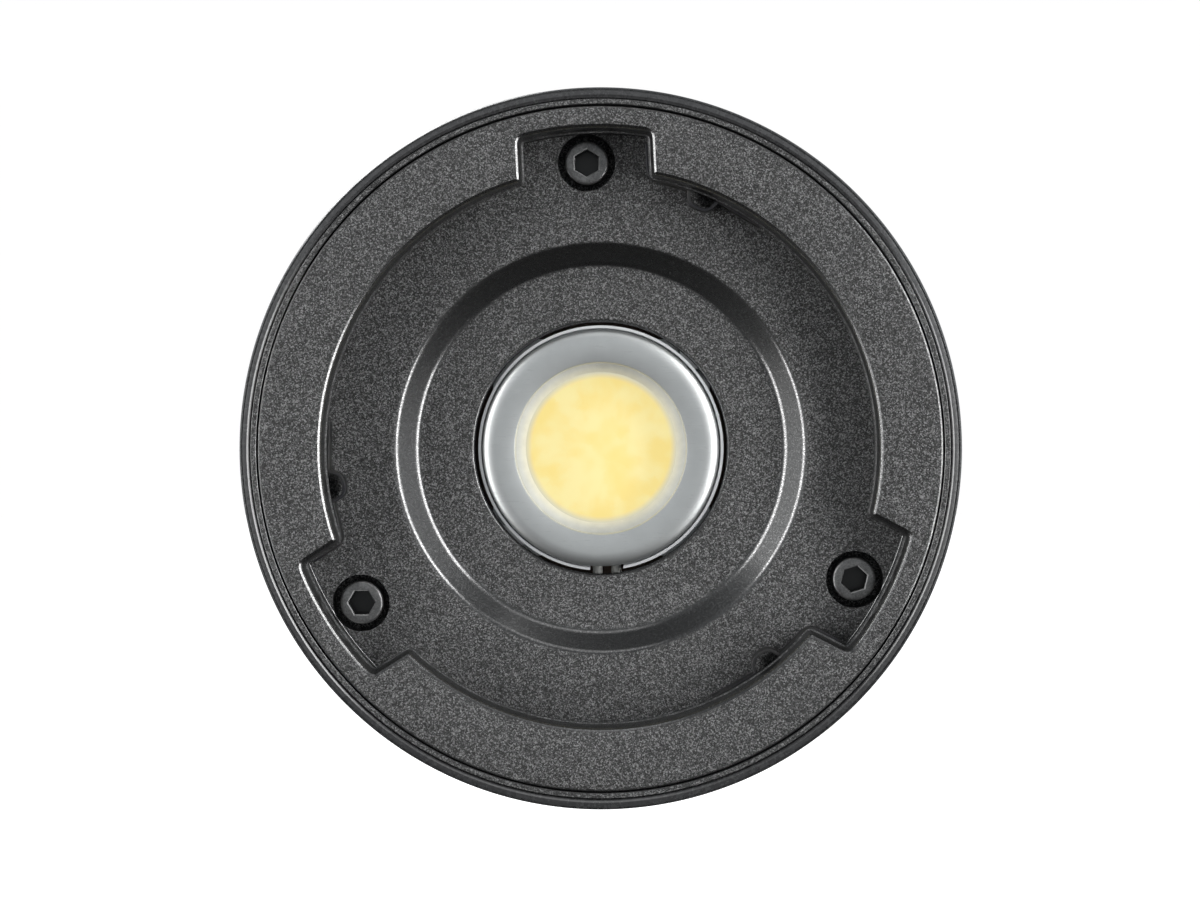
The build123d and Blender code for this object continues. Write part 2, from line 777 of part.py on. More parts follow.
bolt_head_r = 7.0
bolt_head_thick = 3.6
with BuildPart() as pivot_bolt:
    add(pivot_ring(-1, pivot_pad_back + 0.5, pivot_face, m6_r - bearing_gap))
    add(pivot_ring(-1, pivot_face, arm_outside + free_gap, shoulder_r))
    add(pivot_ring(-1, arm_outside + free_gap, arm_outside + free_gap + bolt_head_thick, bolt_head_r))
    chamfer(pivot_bolt.faces().sort_by(Axis.X)[0].edges(), 0.5)
    with BuildSketch(Plane.YZ.offset(-arm_outside - free_gap - bolt_head_thick)) as bolt_key:
        with Locations((pivot_depth, 0)):
            RegularPolygon(2.5, 6, major_radius=False)
    extrude(bolt_key.sketch, amount=2.6, mode=Mode.SUBTRACT)
finish(pivot_bolt, "pivot_bolt")

knob_r = 10.0
knob_thick = 4.6
knob_inside = arm_outside + free_gap
with BuildPart() as tilt_lock_stud:
    add(pivot_ring(1, pivot_pad_back + 0.5, pivot_face, m6_r - bearing_gap))
    add(pivot_ring(1, pivot_face + washer_gap, knob_inside, shoulder_r))
    add(pivot_ring(1, pivot_face, pivot_face + washer_gap, m6_r - bearing_gap))
    add(pivot_ring(1, knob_inside, knob_inside + knob_thick - 1.2, m6_r))
finish(tilt_lock_stud, "tilt_lock_stud")

with BuildPart() as tilt_lock_knob:
    add(pivot_ring(1, knob_inside, knob_inside + knob_thick, knob_r))
    chamfer(tilt_lock_knob.faces().sort_by(Axis.X)[-1].edges(), 0.8)
    with BuildSketch(Plane.YZ.offset(knob_inside)) as grips:
        with Locations((pivot_depth, 0)):
            with PolarLocations(knob_r + 0.7, 12):
                Circle(1.3)
    extrude(grips.sketch, amount=knob_thick, mode=Mode.SUBTRACT)
    add(pivot_ring(1, knob_inside, knob_inside + knob_thick - 1.2, m6_r), mode=Mode.SUBTRACT)
finish(tilt_lock_knob, "tilt_lock_knob")

# ------------------------------------------------------------------ rear cover and controls
panel_thick = 2.5
panel_front = body_length - panel_thick
dial_x = 16.0
dial_z = -2.0
dial_r = 8.5
dial_high = 10.0
shaft_dial_r = 3.0
bushing_r = 4.2
encoder_side = 12.0
encoder_deep = 6.5
display_z = 21.0
display_wide = 28.0
display_tall = 13.0
window_thick = 1.2
frame_edge = 1.5  # panel left round the display opening, under the window
button_z = 5.0
button_r = 3.5
button_travel = 0.8
button_proud = 1.4
rocker_x = -17.0
rocker_z = -24.0
rocker_wide = 6.0
rocker_tall = 10.0
rocker_wall = 1.4
rocker_tilt = 8.0
socket_z = -25.0
socket_r = 5.5
usb_x = 17.0
usb_wide = 9.0
usb_tall = 3.4
bezel = 1.2
rocker_body_wide = rocker_wide + 2 * (free_gap + rocker_wall)
rocker_body_tall = rocker_tall + 2 * (0.8 + rocker_wall)


def panel_hole(width, height, x, z, start, end, round_by=0.0):
    """A rectangular block between two depths, for the openings in the panel and what fills them."""
    with BuildSketch(across(start)) as shape:
        with Locations((x, z)):
            if round_by > 0:
                RectangleRounded(width, height, round_by)
            else:
                Rectangle(width, height)
    return extrude(shape.sketch, amount=-(end - start), mode=Mode.PRIVATE)


def rod(radius, x, z, start, end, bore=0.0):
    """A round block between two depths."""
    with BuildSketch(across(start)) as shape:
        with Locations((x, z)):
            Circle(radius)
            if bore > 0:
                Circle(bore, mode=Mode.SUBTRACT)
    return extrude(shape.sketch, amount=-(end - start), mode=Mode.PRIVATE)


with BuildPart() as rear_cover:
    extrude(annulus(rear_front, barrel_r, bore_r), amount=-(panel_front - rear_front))
    extrude(annulus(panel_front, barrel_r), amount=-panel_thick)
    fillet(rear_cover.edges().filter_by(GeomType.CIRCLE).group_by(Axis.Y)[-1], 1.5)
    cover_bosses = dots(rear_front, boss_r, at(rear_screw_place, between_angles))
    extrude(cover_bosses, amount=-(panel_front - rear_front))
    extrude(
        dots(rear_front, 1.35, at(rear_screw_place, between_angles)), amount=-20, mode=Mode.SUBTRACT
    )
    extrude(
        dots(panel_front, 2.3, at(rear_screw_place, between_angles)), amount=-panel_thick, mode=Mode.SUBTRACT
    )
    window_front = body_length - window_thick
    add(
        panel_hole(display_wide, display_tall, 0, display_z, window_front, body_length + 1, 1.0),
        mode=Mode.SUBTRACT,
    )
    add(
        panel_hole(
            display_wide - 2 * frame_edge,
            display_tall - 2 * frame_edge,
            0,
            display_z,
            panel_front - 1,
            body_length,
        ),
        mode=Mode.SUBTRACT,
    )
    for side in (-1, 1):
        bushing_hole = rod(bushing_r + slip, side * dial_x, dial_z, panel_front - 1, body_length + 1)
        add(bushing_hole, mode=Mode.SUBTRACT)
    add(rod(button_r + free_gap, 0, button_z, panel_front - 1, body_length + 1), mode=Mode.SUBTRACT)
    add(rod(socket_r + slip, 0, socket_z, panel_front - 1, body_length + 1), mode=Mode.SUBTRACT)
    add(
        panel_hole(
            rocker_body_wide + slip,
            rocker_body_tall + slip,
            rocker_x,
            rocker_z,
            panel_front - 1,
            body_length + 1,
        ),
        mode=Mode.SUBTRACT,
    )
    add(
        panel_hole(usb_wide + slip, usb_tall + slip, usb_x, socket_z, panel_front - 1, body_length + 1, 1.6),
        mode=Mode.SUBTRACT,
    )
finish(rear_cover, "rear_cover")

screws(
    "rear_screws",
    at(rear_screw_place, between_angles),
    panel_front,
    panel_front + 2.0,
    2.2,
    1.2,
    rear_front - 7.0,
    hex_flats=1.6,
)

with BuildPart() as display_window:
    add(
        panel_hole(
            display_wide - slip, display_tall - slip, 0, display_z, window_front, body_length - 0.1, 0.9
        )
    )
finish(display_window, "display_window")

with BuildPart() as display_module:
    add(panel_hole(display_wide + 3, display_tall + 3, 0, display_z, panel_front - 3.2, panel_front - 0.2))
    add(panel_hole(20, 2.5, 0, display_z, control_back, panel_front - 3.2))
finish(display_module, "display_module")

with BuildPart() as encoder_bodies:
    for side in (-1, 1):
        add(
            panel_hole(
                encoder_side, encoder_side, side * dial_x, dial_z, control_back, control_back + encoder_deep
            )
        )
        add(rod(bushing_r, side * dial_x, dial_z, control_back + encoder_deep, body_length + 0.2))
    for side in (-1, 1):
        add(
            rod(shaft_dial_r + bearing_gap, side * dial_x, dial_z, control_back + 1.5, body_length + 1),
            mode=Mode.SUBTRACT,
        )
finish(encoder_bodies, "encoder_bodies")

for dial_name, side in (("brightness", -1), ("colour", 1)):
    dial_start = body_length + 0.2 + free_gap
    shaft_end = dial_start + dial_high - 2.0
    with BuildPart() as dial_shaft:
        add(rod(shaft_dial_r, side * dial_x, dial_z, control_back + 1.8, shaft_end))
    finish(dial_shaft, f"{dial_name}_shaft")
    with BuildPart() as dial:
        add(rod(dial_r, side * dial_x, dial_z, dial_start, dial_start + dial_high))
        chamfer(dial.faces().sort_by(Axis.Y)[-1].edges(), 0.8)
        with BuildSketch(across(dial_start)) as knurl:
            with Locations((side * dial_x, dial_z)):
                with PolarLocations(dial_r + 0.45, 20):
                    Circle(0.8)
        extrude(knurl.sketch, amount=-dial_high, mode=Mode.SUBTRACT)
        add(rod(shaft_dial_r, side * dial_x, dial_z, dial_start, shaft_end), mode=Mode.SUBTRACT)
    finish(dial, f"{dial_name}_dial")

button_flange_back = panel_front - free_gap
with BuildPart() as mode_button:
    add(rod(button_r + 1.0, 0, button_z, button_flange_back - 1.0, button_flange_back))
    add(rod(button_r, 0, button_z, button_flange_back, body_length + button_proud))
    fillet(mode_button.faces().sort_by(Axis.Y)[-1].edges(), 0.5)
finish(mode_button, "mode_button")

with BuildPart() as button_switch:
    switch_top = button_flange_back - 1.0 - button_travel - 0.1
    add(panel_hole(6, 6, 0, button_z, control_back, switch_top - 1.5))
    add(rod(1.6, 0, button_z, switch_top - 1.5, switch_top))
finish(button_switch, "button_switch")

with BuildPart() as rocker_frame:
    add(
        panel_hole(
            rocker_body_wide, rocker_body_tall, rocker_x, rocker_z, control_back + 2.0, body_length + 1.0
        )
    )
    add(
        panel_hole(
            rocker_body_wide + 2 * bezel,
            rocker_body_tall + 2 * bezel,
            rocker_x,
            rocker_z,
            body_length,
            body_length + 1.0,
            1.0,
        )
    )
    add(
        panel_hole(
            rocker_wide + 2 * free_gap,
            rocker_tall + 1.6,
            rocker_x,
            rocker_z,
            body_length - 4.0,
            body_length + 2,
        ),
        mode=Mode.SUBTRACT,
    )
finish(rocker_frame, "rocker_frame")

rocker_pivot = body_length - 0.6
with BuildPart() as power_rocker:
    with BuildSketch(Plane.YZ.offset(rocker_x - rocker_wide / 2)) as rocker_side:
        with BuildLine():
            Polyline(
                (-1.2, -rocker_tall / 2),
                (2.8, -rocker_tall / 2),
                (1.9, 0),
                (2.8, rocker_tall / 2),
                (-1.2, rocker_tall / 2),
                (-2.2, 0),
                close=True,
            )
        make_face()
    extrude(rocker_side.sketch, amount=rocker_wide)
    rocker_place = Location((0, rocker_pivot, rocker_z))
    power_rocker.part = power_rocker.part.rotate(Axis.X, rocker_tilt).moved(rocker_place)
finish(power_rocker, "power_rocker")

with BuildPart() as dc_socket:
    add(rod(socket_r, 0, socket_z, control_back + 0.2, body_length + 0.6))
    add(rod(2.8, 0, socket_z, body_length - 9.0, body_length + 1), mode=Mode.SUBTRACT)
    add(rod(1.0, 0, socket_z, body_length - 9.5, body_length - 0.8))
finish(dc_socket, "dc_socket")

with BuildPart() as usb_socket:
    add(panel_hole(usb_wide, usb_tall, usb_x, socket_z, control_back, body_length, 1.5))
    add(
        panel_hole(usb_wide - 0.8, usb_tall - 0.8, usb_x, socket_z, body_length - 6.0, body_length + 1, 1.2),
        mode=Mode.SUBTRACT,
    )
    add(panel_hole(usb_wide - 2.8, 0.7, usb_x, socket_z, body_length - 6.5, body_length - 0.8))
finish(usb_socket, "usb_socket")

# ------------------------------------------------------------------ yoke
# A bent flat bar that folds back behind the head. Its reach lets the head turn inside it.
yoke_clear = 2.0
yoke_bend_r = 10.0
dial_end = body_length + 0.2 + free_gap + dial_high
rear_reach = max(
    hypot(body_length - pivot_depth, barrel_r),
    hypot(dial_end - pivot_depth, abs(dial_z) + dial_r),
)
yoke_reach = max(hypot(pivot_depth, rim_r), rear_reach) + yoke_clear
cross_front = pivot_depth + yoke_reach
cross_back = cross_front + arm_thick
arm_middle = (arm_inside + arm_outside) / 2

with BuildPart() as yoke:
    with BuildSketch(Plane.XY.offset(-arm_width / 2)) as bar:
        with BuildLine():
            FilletPolyline(
                (arm_middle, pivot_depth),
                (arm_middle, cross_front + arm_thick / 2),
                (-arm_middle, cross_front + arm_thick / 2),
                (-arm_middle, pivot_depth),
                radius=yoke_bend_r,
            )
        trace(line_width=arm_thick)
    extrude(bar.sketch, amount=arm_width)
    for pivot_side in (-1, 1):
        add(pivot_ring(pivot_side, arm_inside, arm_outside, arm_width / 2))
    for pivot_side in (-1, 1):
        add(
            pivot_ring(pivot_side, arm_inside - 0.5, arm_outside + 0.5, shoulder_r + bearing_gap),
            mode=Mode.SUBTRACT,
        )
    receiver_bolt_head_r = 5.0
    add(rod(receiver_bolt_head_r + slip, 0, 0, cross_front - 0.5, cross_front + 2.0), mode=Mode.SUBTRACT)
    add(rod(m6_r + slip, 0, 0, cross_front, cross_back + 0.5), mode=Mode.SUBTRACT)
finish(yoke, "yoke")

# ------------------------------------------------------------------ stud receiver
# It takes a 5/8 inch light-stand stud, locked by a side screw with a knob.
stud_hole_r = 8.1
receiver_r = 13.0
receiver_base = 6.0
stud_length = 30.0
receiver_back = cross_back + receiver_base + stud_length
lock_depth = cross_back + receiver_base + stud_length * 0.55
lock_tip = stud_hole_r + 0.3

with BuildPart() as stud_receiver:
    add(rod(receiver_r, 0, 0, cross_back, receiver_back))
    chamfer(stud_receiver.faces().sort_by(Axis.Y)[-1].edges(), 1.0)
    add(rod(stud_hole_r, 0, 0, receiver_back - stud_length, receiver_back + 1), mode=Mode.SUBTRACT)
    add(rod(m6_r, 0, 0, cross_back, receiver_back - stud_length + 1), mode=Mode.SUBTRACT)
    with BuildSketch(Plane.YZ) as lock_hole:
        with Locations((lock_depth, 0)):
            Circle(m6_r)
    extrude(lock_hole.sketch, amount=receiver_r + 1, mode=Mode.SUBTRACT)
finish(stud_receiver, "stud_receiver")

screws(
    "receiver_bolt",
    [(0.0, 0.0)],
    cross_front,
    cross_front + 2.0,
    receiver_bolt_head_r,
    m6_r - bearing_gap,
    cross_back + receiver_base - 0.5,
    hex_flats=4.0,
)

lock_screw_end = 24.0
lock_knob_start = 17.0
lock_knob_end = 29.0
with BuildPart() as receiver_lock_screw:
    with BuildSketch(Plane.YZ.offset(lock_tip)) as lock_thread:
        with Locations((lock_depth, 0)):
            Circle(m6_r - bearing_gap)
    extrude(lock_thread.sketch, amount=lock_screw_end - lock_tip)
finish(receiver_lock_screw, "receiver_lock_screw")

with BuildPart() as receiver_lock_knob:
    with BuildSketch(Plane.YZ.offset(lock_knob_start)) as lobes:
        with Locations((lock_depth, 0)):
            Circle(7.0)
            with PolarLocations(6.5, 3):
                Circle(4.0)
    extrude(lobes.sketch, amount=lock_knob_end - lock_knob_start)
    fillet(receiver_lock_knob.faces().sort_by(Axis.X)[-1].edges(), 1.0)
    with BuildSketch(Plane.YZ.offset(lock_knob_start)) as lock_bore:
        with Locations((lock_depth, 0)):
            Circle(m6_r - bearing_gap)
    extrude(lock_bore.sketch, amount=lock_screw_end - lock_knob_start, mode=Mode.SUBTRACT)
finish(receiver_lock_knob, "receiver_lock_knob")
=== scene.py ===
import math

import bmesh
import bpy
from mathutils import Matrix, Vector


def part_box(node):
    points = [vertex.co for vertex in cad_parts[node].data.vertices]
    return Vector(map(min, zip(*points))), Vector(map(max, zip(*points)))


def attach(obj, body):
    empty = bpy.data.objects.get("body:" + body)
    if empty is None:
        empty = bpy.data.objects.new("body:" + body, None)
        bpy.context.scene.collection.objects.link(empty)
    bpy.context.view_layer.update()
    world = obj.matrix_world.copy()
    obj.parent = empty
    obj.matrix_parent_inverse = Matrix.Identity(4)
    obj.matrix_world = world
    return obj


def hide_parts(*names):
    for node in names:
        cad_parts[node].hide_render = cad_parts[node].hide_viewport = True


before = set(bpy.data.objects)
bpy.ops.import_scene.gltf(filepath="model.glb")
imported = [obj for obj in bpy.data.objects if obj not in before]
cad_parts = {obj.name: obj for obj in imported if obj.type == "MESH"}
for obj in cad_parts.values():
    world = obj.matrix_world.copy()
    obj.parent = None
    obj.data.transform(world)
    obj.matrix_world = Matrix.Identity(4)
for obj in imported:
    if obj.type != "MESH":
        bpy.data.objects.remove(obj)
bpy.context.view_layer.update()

# ---------------------------------------------------------------- studio
# The head hangs on its stud over a pale floor, inside a white sweep that only the camera sees.
# Two tall softboxes stand at its sides, a dimmer one hangs above, and nothing lights it from below.
rim_low, rim_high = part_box("trim_collar")
rim_diameter = rim_high.x - rim_low.x
eye_distance = 0.29
eye_raise = math.radians(1.5)
eye_aside = math.radians(0.7)
rim_share = 0.604  # the rim's part of the picture's width
sensor = 36.0
floor_drop = 0.16
sweep_radius = 3.0

camera_data = bpy.data.cameras.new("camera")
camera_data.sensor_width = sensor
camera_data.lens = sensor * rim_share * eye_distance / rim_diameter
camera_data.clip_start = 0.01
camera = bpy.data.objects.new("camera", camera_data)
away = Vector((math.sin(eye_aside), -math.cos(eye_aside), math.tan(eye_raise))).normalized()
camera.location = away * eye_distance
camera.rotation_euler = (-away).to_track_quat("-Z", "Y").to_euler()
bpy.context.scene.collection.objects.link(camera)
bpy.context.scene.camera = camera
bpy.context.scene.view_settings.view_transform = "Standard"

class Tint:
    """A shader value, colour or vector. Arithmetic on it adds the maths nodes that work it out."""

    def __init__(self, tree, socket):
        self.tree = tree
        self.socket = socket

    def node(self, kind, settings, sockets, output=0):
        """Adds any other node: its settings first, then its sockets' values or links."""
        made = self.tree.nodes.new(kind)
        for name, setting in settings.items():
            if name == "stops":
                ramp = made.color_ramp
                while len(ramp.elements) < len(setting):
                    ramp.elements.new(0.5)
                for element, (position, colour) in zip(ramp.elements, setting):
                    element.position = position
                    element.color = (*colour, 1)
            else:
                setattr(made, name, setting)
        for name, given in sockets.items():
            if isinstance(given, Tint):
                self.tree.links.new(given.socket, made.inputs[name])
            elif isinstance(given, tuple) and len(given) == 3 and made.inputs[name].type == "RGBA":
                made.inputs[name].default_value = (*given, 1)
            else:
                made.inputs[name].default_value = given
        return Tint(self.tree, made.outputs[output])

    def maths(self, operation, *operands):
        """A Math node on values, or a Vector Math node where a colour or vector takes part."""
        flat = all(not isinstance(item, Tint) or item.socket.type == "VALUE" for item in operands)
        flat = flat and not any(isinstance(item, tuple) for item in operands)
        made = self.tree.nodes.new("ShaderNodeMath" if flat else "ShaderNodeVectorMath")
        made.operation = operation
        for index, given in enumerate(operands):
            if isinstance(given, Tint):
                self.tree.links.new(given.socket, made.inputs[index])
            elif flat or isinstance(given, tuple):
                made.inputs[index].default_value = given
            else:
                made.inputs[index].default_value = (given, given, given)
        return Tint(self.tree, made.outputs[0])

    def __add__(self, other):
        return self.maths("ADD", self, other)

    def __sub__(self, other):
        return self.maths("SUBTRACT", self, other)

    def __mul__(self, other):
        return self.maths("MULTIPLY", self, other)

    def __truediv__(self, other):
        return self.maths("DIVIDE", self, other)

    def __pow__(self, other):
        return self.maths("POWER", self, other)

    def __radd__(self, other):
        return self.maths("ADD", other, self)

    def __rsub__(self, other):
        return self.maths("SUBTRACT", other, self)

    def __rmul__(self, other):
        return self.maths("MULTIPLY", other, self)

    def __rtruediv__(self, other):
        return self.maths("DIVIDE", other, self)

    def steps(self, low, high):
        """0 below low, 1 above high and a smooth rise between."""
        settings = {"interpolation_type": "SMOOTHSTEP"}
        return self.node("ShaderNodeMapRange", settings, {"Value": self, "From Min": low, "From Max": high})

    def noise(self, grain, detail=2.0, rough=0.5):
        """Noise over this place, with features about one grain (in metres) across."""
        sockets = {"Vector": self, "Scale": 1 / grain, "Detail": detail, "Roughness": rough}
        return self.node("ShaderNodeTexNoise", {}, sockets)

    def cells(self, grain):
        """A different value from 0 to 1 in each cell, the cells about one grain (in metres) across."""
        cell = self.node("ShaderNodeTexVoronoi", {}, {"Vector": self, "Scale": 1 / grain}, output="Color")
        return self.node("ShaderNodeSeparateColor", {}, {"Color": cell})

    def mixed(self, first, second):
        """first where this value is 0 and second where it is 1."""
        made = self.tree.nodes.new("ShaderNodeMix")
        made.data_type = "RGBA"
        self.tree.links.new(self.socket, made.inputs[0])
        for socket, given in ((made.inputs[6], first), (made.inputs[7], second)):
            if isinstance(given, Tint):
                self.tree.links.new(given.socket, socket)
            else:
                socket.default_value = (*given, 1)
        return Tint(self.tree, made.outputs[2])


world = bpy.data.worlds.new("studio_air")
bpy.context.scene.world = world
world.use_nodes = True
air = Tint(world.node_tree, None)
upward = air.node("ShaderNodeTexCoord", {}, {}, output="Generated")
height_in_air = air.node("ShaderNodeSeparateXYZ", {}, {"Vector": upward}, output="Z")
air_stops = [
    (0.0, (0.01, 0.01, 0.01)),
    (0.28, (0.05, 0.05, 0.052)),
    (0.50, (0.455, 0.475, 0.485)),
    (0.66, (0.40, 0.42, 0.435)),
    (1.0, (0.08, 0.085, 0.09)),
]
air_tone = air.node("ShaderNodeValToRGB", {"stops": air_stops}, {"Fac": height_in_air * 0.5 + 0.5})
world.node_tree.links.new(air_tone.socket, world.node_tree.nodes["Background"].inputs["Color"])


def softbox(name, place, width, height, power):
    """A rectangular soft light that faces the middle of the front ring."""
    data = bpy.data.lights.new(name, "AREA")
    data.shape = "RECTANGLE"
    data.size = width
    data.size_y = height
    data.energy = power
    lamp = bpy.data.objects.new(name, data)
    lamp.location = place
    lamp.rotation_euler = (-Vector(place)).to_track_quat("-Z", "Y").to_euler()
    bpy.context.scene.collection.objects.link(lamp)
    return lamp


softbox("right_softbox", (0.60, -0.42, 0.09), 0.20, 0.85, 6.0)
softbox("left_softbox", (-0.68, -0.32, 0.05), 0.20, 0.85, 4.6)
softbox("top_softbox", (0.10, -0.34, 0.62), 0.6, 0.2, 0.5)
softbox("rear_softbox", (-0.5, 0.75, 0.7), 0.6, 0.6, 5.0)


def glowing(name, colour, strength, bounce):
    """A stage surface that shines by itself, with some plain white under it."""
    material = bpy.data.materials.new(name)
    material.use_nodes = True
    shader = material.node_tree.nodes["Principled BSDF"]
    shader.inputs["Base Color"].default_value = (*bounce, 1)
    shader.inputs["Roughness"].default_value = 0.9
    shader.inputs["Emission Color"].default_value = (*colour, 1)
    shader.inputs["Emission Strength"].default_value = strength
    return material


def stage_piece(name, shape, material):
    """A floor or backdrop that the camera sees and that throws no light on the head."""
    mesh = bpy.data.meshes.new(name)
    shape.to_mesh(mesh)
    shape.free()
    piece = bpy.data.objects.new(name, mesh)
    mesh.materials.append(material)
    mesh.shade_smooth()
    piece.visible_diffuse = False
    piece.visible_glossy = False
    piece.visible_shadow = False
    bpy.context.scene.collection.objects.link(piece)
    return piece


sweep_shape = bmesh.new()
bmesh.ops.create_uvsphere(sweep_shape, u_segments=48, v_segments=24, radius=sweep_radius)
stage_piece("white_sweep", sweep_shape, glowing("sweep_white", (1, 1, 1), 1.0, (0, 0, 0)))
floor_shape = bmesh.new()
bmesh.ops.create_circle(floor_shape, cap_ends=True, segments=96, radius=sweep_radius * 0.95)
bmesh.ops.translate(floor_shape, verts=floor_shape.verts, vec=(0, 0, -floor_drop))
stage_piece("pale_floor", floor_shape, glowing("floor_white", (1, 1, 1), 1.0, (0.7, 0.7, 0.7)))

# ---------------------------------------------------------------- front casting
# One die-cast aluminium dish: the lip round the bayonet ring, the lug channel, the outer floor, the
# slope down to the middle and the hole for the light. It is powder coated in a fine sandy black.
casting_low, casting_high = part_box("front_casting")
lip_radius = (casting_high.x - casting_low.x) / 2
groove_radius = 0.0426
ledge_radius = 0.0399
ledge_depth = 0.0026
flange_back = 0.0140
floor_depth = 0.0060
slope_outer = 0.02605
recess_radius = 0.0233
recess_depth = 0.0087
light_hole = 0.0161
web_back = 0.0086
sleeve_inner = 0.0310
sleeve_outer = 0.0389
pocket_radius = 0.00362
pocket_distance = 0.0362
pocket_back = 0.0092
pocket_start = 0.0050
dish_edge = 0.00026
window_angles = [math.radians(92.8 + 120 * turn) for turn in range(3)]


class Finish:
    """A material for one finish: its place over the surface, its shader and how it is closed."""

    def __init__(self, name):
        self.material = bpy.data.materials.new(name)
        self.material.use_nodes = True
        self.tree = self.material.node_tree
        self.shader = self.tree.nodes["Principled BSDF"]
        self.start = Tint(self.tree, None)
        self.place = self.start.node("ShaderNodeTexCoord", {}, {}, output="Object")

    def part(self, index):
        """The X, Y or Z part of the place."""
        return self.start.node("ShaderNodeSeparateXYZ", {}, {"Vector": self.place}, output=index)

    def radius(self):
        """Distance from the optical axis."""
        flat = self.place * (1.0, 0.0, 1.0)
        made = self.start.node("ShaderNodeVectorMath", {"operation": "LENGTH"}, {0: flat}, output="Value")
        return made

    def facing(self):
        """1 on faces across the optical axis and 0 on faces along it."""
        normal = self.start.node("ShaderNodeTexCoord", {}, {}, output="Normal")
        forward = self.start.node("ShaderNodeSeparateXYZ", {}, {"Vector": normal}, output="Y")
        return forward.maths("ABSOLUTE", forward)

    def close(self, colour, rough, height=None, depth=0.0, fixed=(), **varied):
        """Feeds the shader and returns the material. Heights are 0 to 1 over a depth in metres."""
        sockets = {"Base Color": colour, "Roughness": rough, **varied}
        if height is not None:
            bump = {"Height": height, "Distance": depth, "Strength": 1.0}
            sockets["Normal"] = self.start.node("ShaderNodeBump", {}, bump)
        for name, given in {**sockets, **dict(fixed)}.items():
            name = name.replace("_", " ")
            if isinstance(given, Tint):
                self.tree.links.new(given.socket, self.shader.inputs[name])
            elif isinstance(given, tuple):
                self.shader.inputs[name].default_value = (*given, 1)
            else:
                self.shader.inputs[name].default_value = given
        return self.material


def powder_coat(name, tone, run_and_shade=0.0, grain=0.00014, depth=0.0002):
    """Powder coat: small hard grains that catch the light, uneven in tone and in shine.

    Where the run weight is 1 the coat lies thin and smooth on every face that is turned from the front, and
    those faces are painted near black as shade."""
    finish = Finish(name)
    grains = finish.place.noise(grain * 1.4, detail=4.0, rough=0.75)
    specks = finish.place.cells(grain) ** 3.0
    cloud = finish.place.noise(0.009, detail=3.0)
    light = grains.steps(0.40, 0.62) * 0.4 + specks * 4.2 + cloud * 0.2 + 0.05
    turned = 1 - finish.facing() + (grains - 0.5) * 0.12
    smooth = turned.steps(0.02, 0.11) * run_and_shade
    # Faces turned from the front are painted near black as shade on the walls and slopes; there the coat is
    # also smooth and glossy.
    colour = smooth.mixed(light * tuple(tone), (0.008, 0.008, 0.008))
    uneven = 0.40 + grains * 0.2 + cloud * 0.06 - smooth * 0.15
    height = grains * (1 - smooth * 0.85)
    fixed = {"Specular IOR Level": 0.35, "Coat Roughness": 0.20, "Coat IOR": 2.1}
    return finish.close(colour, uneven, height, depth, fixed=fixed, Coat_Weight=smooth * (specks * 0.8 + 0.6))


def soften(corners, steps=4):
    """Points of an outline. A corner (a, b, size) becomes an arc that starts size before the corner."""
    points = []
    count = len(corners)
    for index, corner in enumerate(corners):
        here = Vector(corner[:2])
        size = corner[2] if len(corner) > 2 else 0
        if size == 0:
            points.append(here)
            continue
        before = (Vector(corners[index - 1][:2]) - here).normalized() * size
        after = (Vector(corners[(index + 1) % count][:2]) - here).normalized() * size
        for step in range(steps + 1):
            part = step / steps
            points.append(here + before * (1 - part) ** 2 + after * part**2)
    return points


def shown(name, shape, material, body, *nodes, crease=35):
    """Makes a piece of the head from a bmesh, which stands for CAD nodes and rides on their body."""
    bmesh.ops.remove_doubles(shape, verts=shape.verts, dist=1e-7)
    bmesh.ops.recalc_face_normals(shape, faces=shape.faces)
    mesh = bpy.data.meshes.new(name)
    shape.to_mesh(mesh)
    shape.free()
    mesh.shade_smooth()
    mesh.set_sharp_from_angle(angle=math.radians(crease))
    mesh.materials.append(material)
    piece = bpy.data.objects.new(name, mesh)
    bpy.context.scene.collection.objects.link(piece)
    if nodes:
        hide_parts(*nodes)
    if body:
        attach(piece, body)
    return piece


def turn(shape, outline, steps=192, centre=(0, 0), ends=False):
    """Turns (depth, radius) points round the optical axis, or round a line beside it."""
    rows = []
    for depth, radius in outline:
        row = []
        for step in range(steps):
            angle = 2 * math.pi * step / steps
            across = centre[0] + radius * math.cos(angle)
            up = centre[1] + radius * math.sin(angle)
            row.append(shape.verts.new((across, depth, up)))
        rows.append(row)
    pairs = list(zip(rows, rows[1:]))
    if not ends:
        pairs.append((rows[-1], rows[0]))
    for near, far in pairs:
        for step in range(steps):
            following = (step + 1) % steps
            shape.faces.new((near[step], near[following], far[following], far[step]))
    return rows


def carve(piece, shape):
    """Cuts a bmesh out of a piece for good."""
    mesh = bpy.data.meshes.new("cutter")
    bmesh.ops.recalc_face_normals(shape, faces=shape.faces)
    shape.to_mesh(mesh)
    shape.free()
    cutter = bpy.data.objects.new("cutter", mesh)
    bpy.context.scene.collection.objects.link(cutter)
    step = piece.modifiers.new("carve", "BOOLEAN")
    step.operation = "DIFFERENCE"
    step.solver = "EXACT"
    step.object = cutter
    bpy.context.view_layer.update()
    seen = piece.evaluated_get(bpy.context.evaluated_depsgraph_get())
    result = bpy.data.meshes.new_from_object(seen)
    piece.modifiers.clear()
    piece.data = result
    bpy.data.objects.remove(cutter)
    result.shade_smooth()
    result.set_sharp_from_angle(angle=math.radians(35))


def bevel(piece, width, segments=3, angle=40):
    """Rounds the sharp edges that are left on a piece."""
    step = piece.modifiers.new("edge_round", "BEVEL")
    step.width = width
    step.segments = segments
    step.limit_method = "ANGLE"
    step.angle_limit = math.radians(angle)
    step.harden_normals = True


def polar(distance, angle):
    """A point across the optical axis."""
    return (distance * math.cos(angle), distance * math.sin(angle))


sandy_black = powder_coat("sandy_black", (0.060, 0.060, 0.060), run_and_shade=1.0)


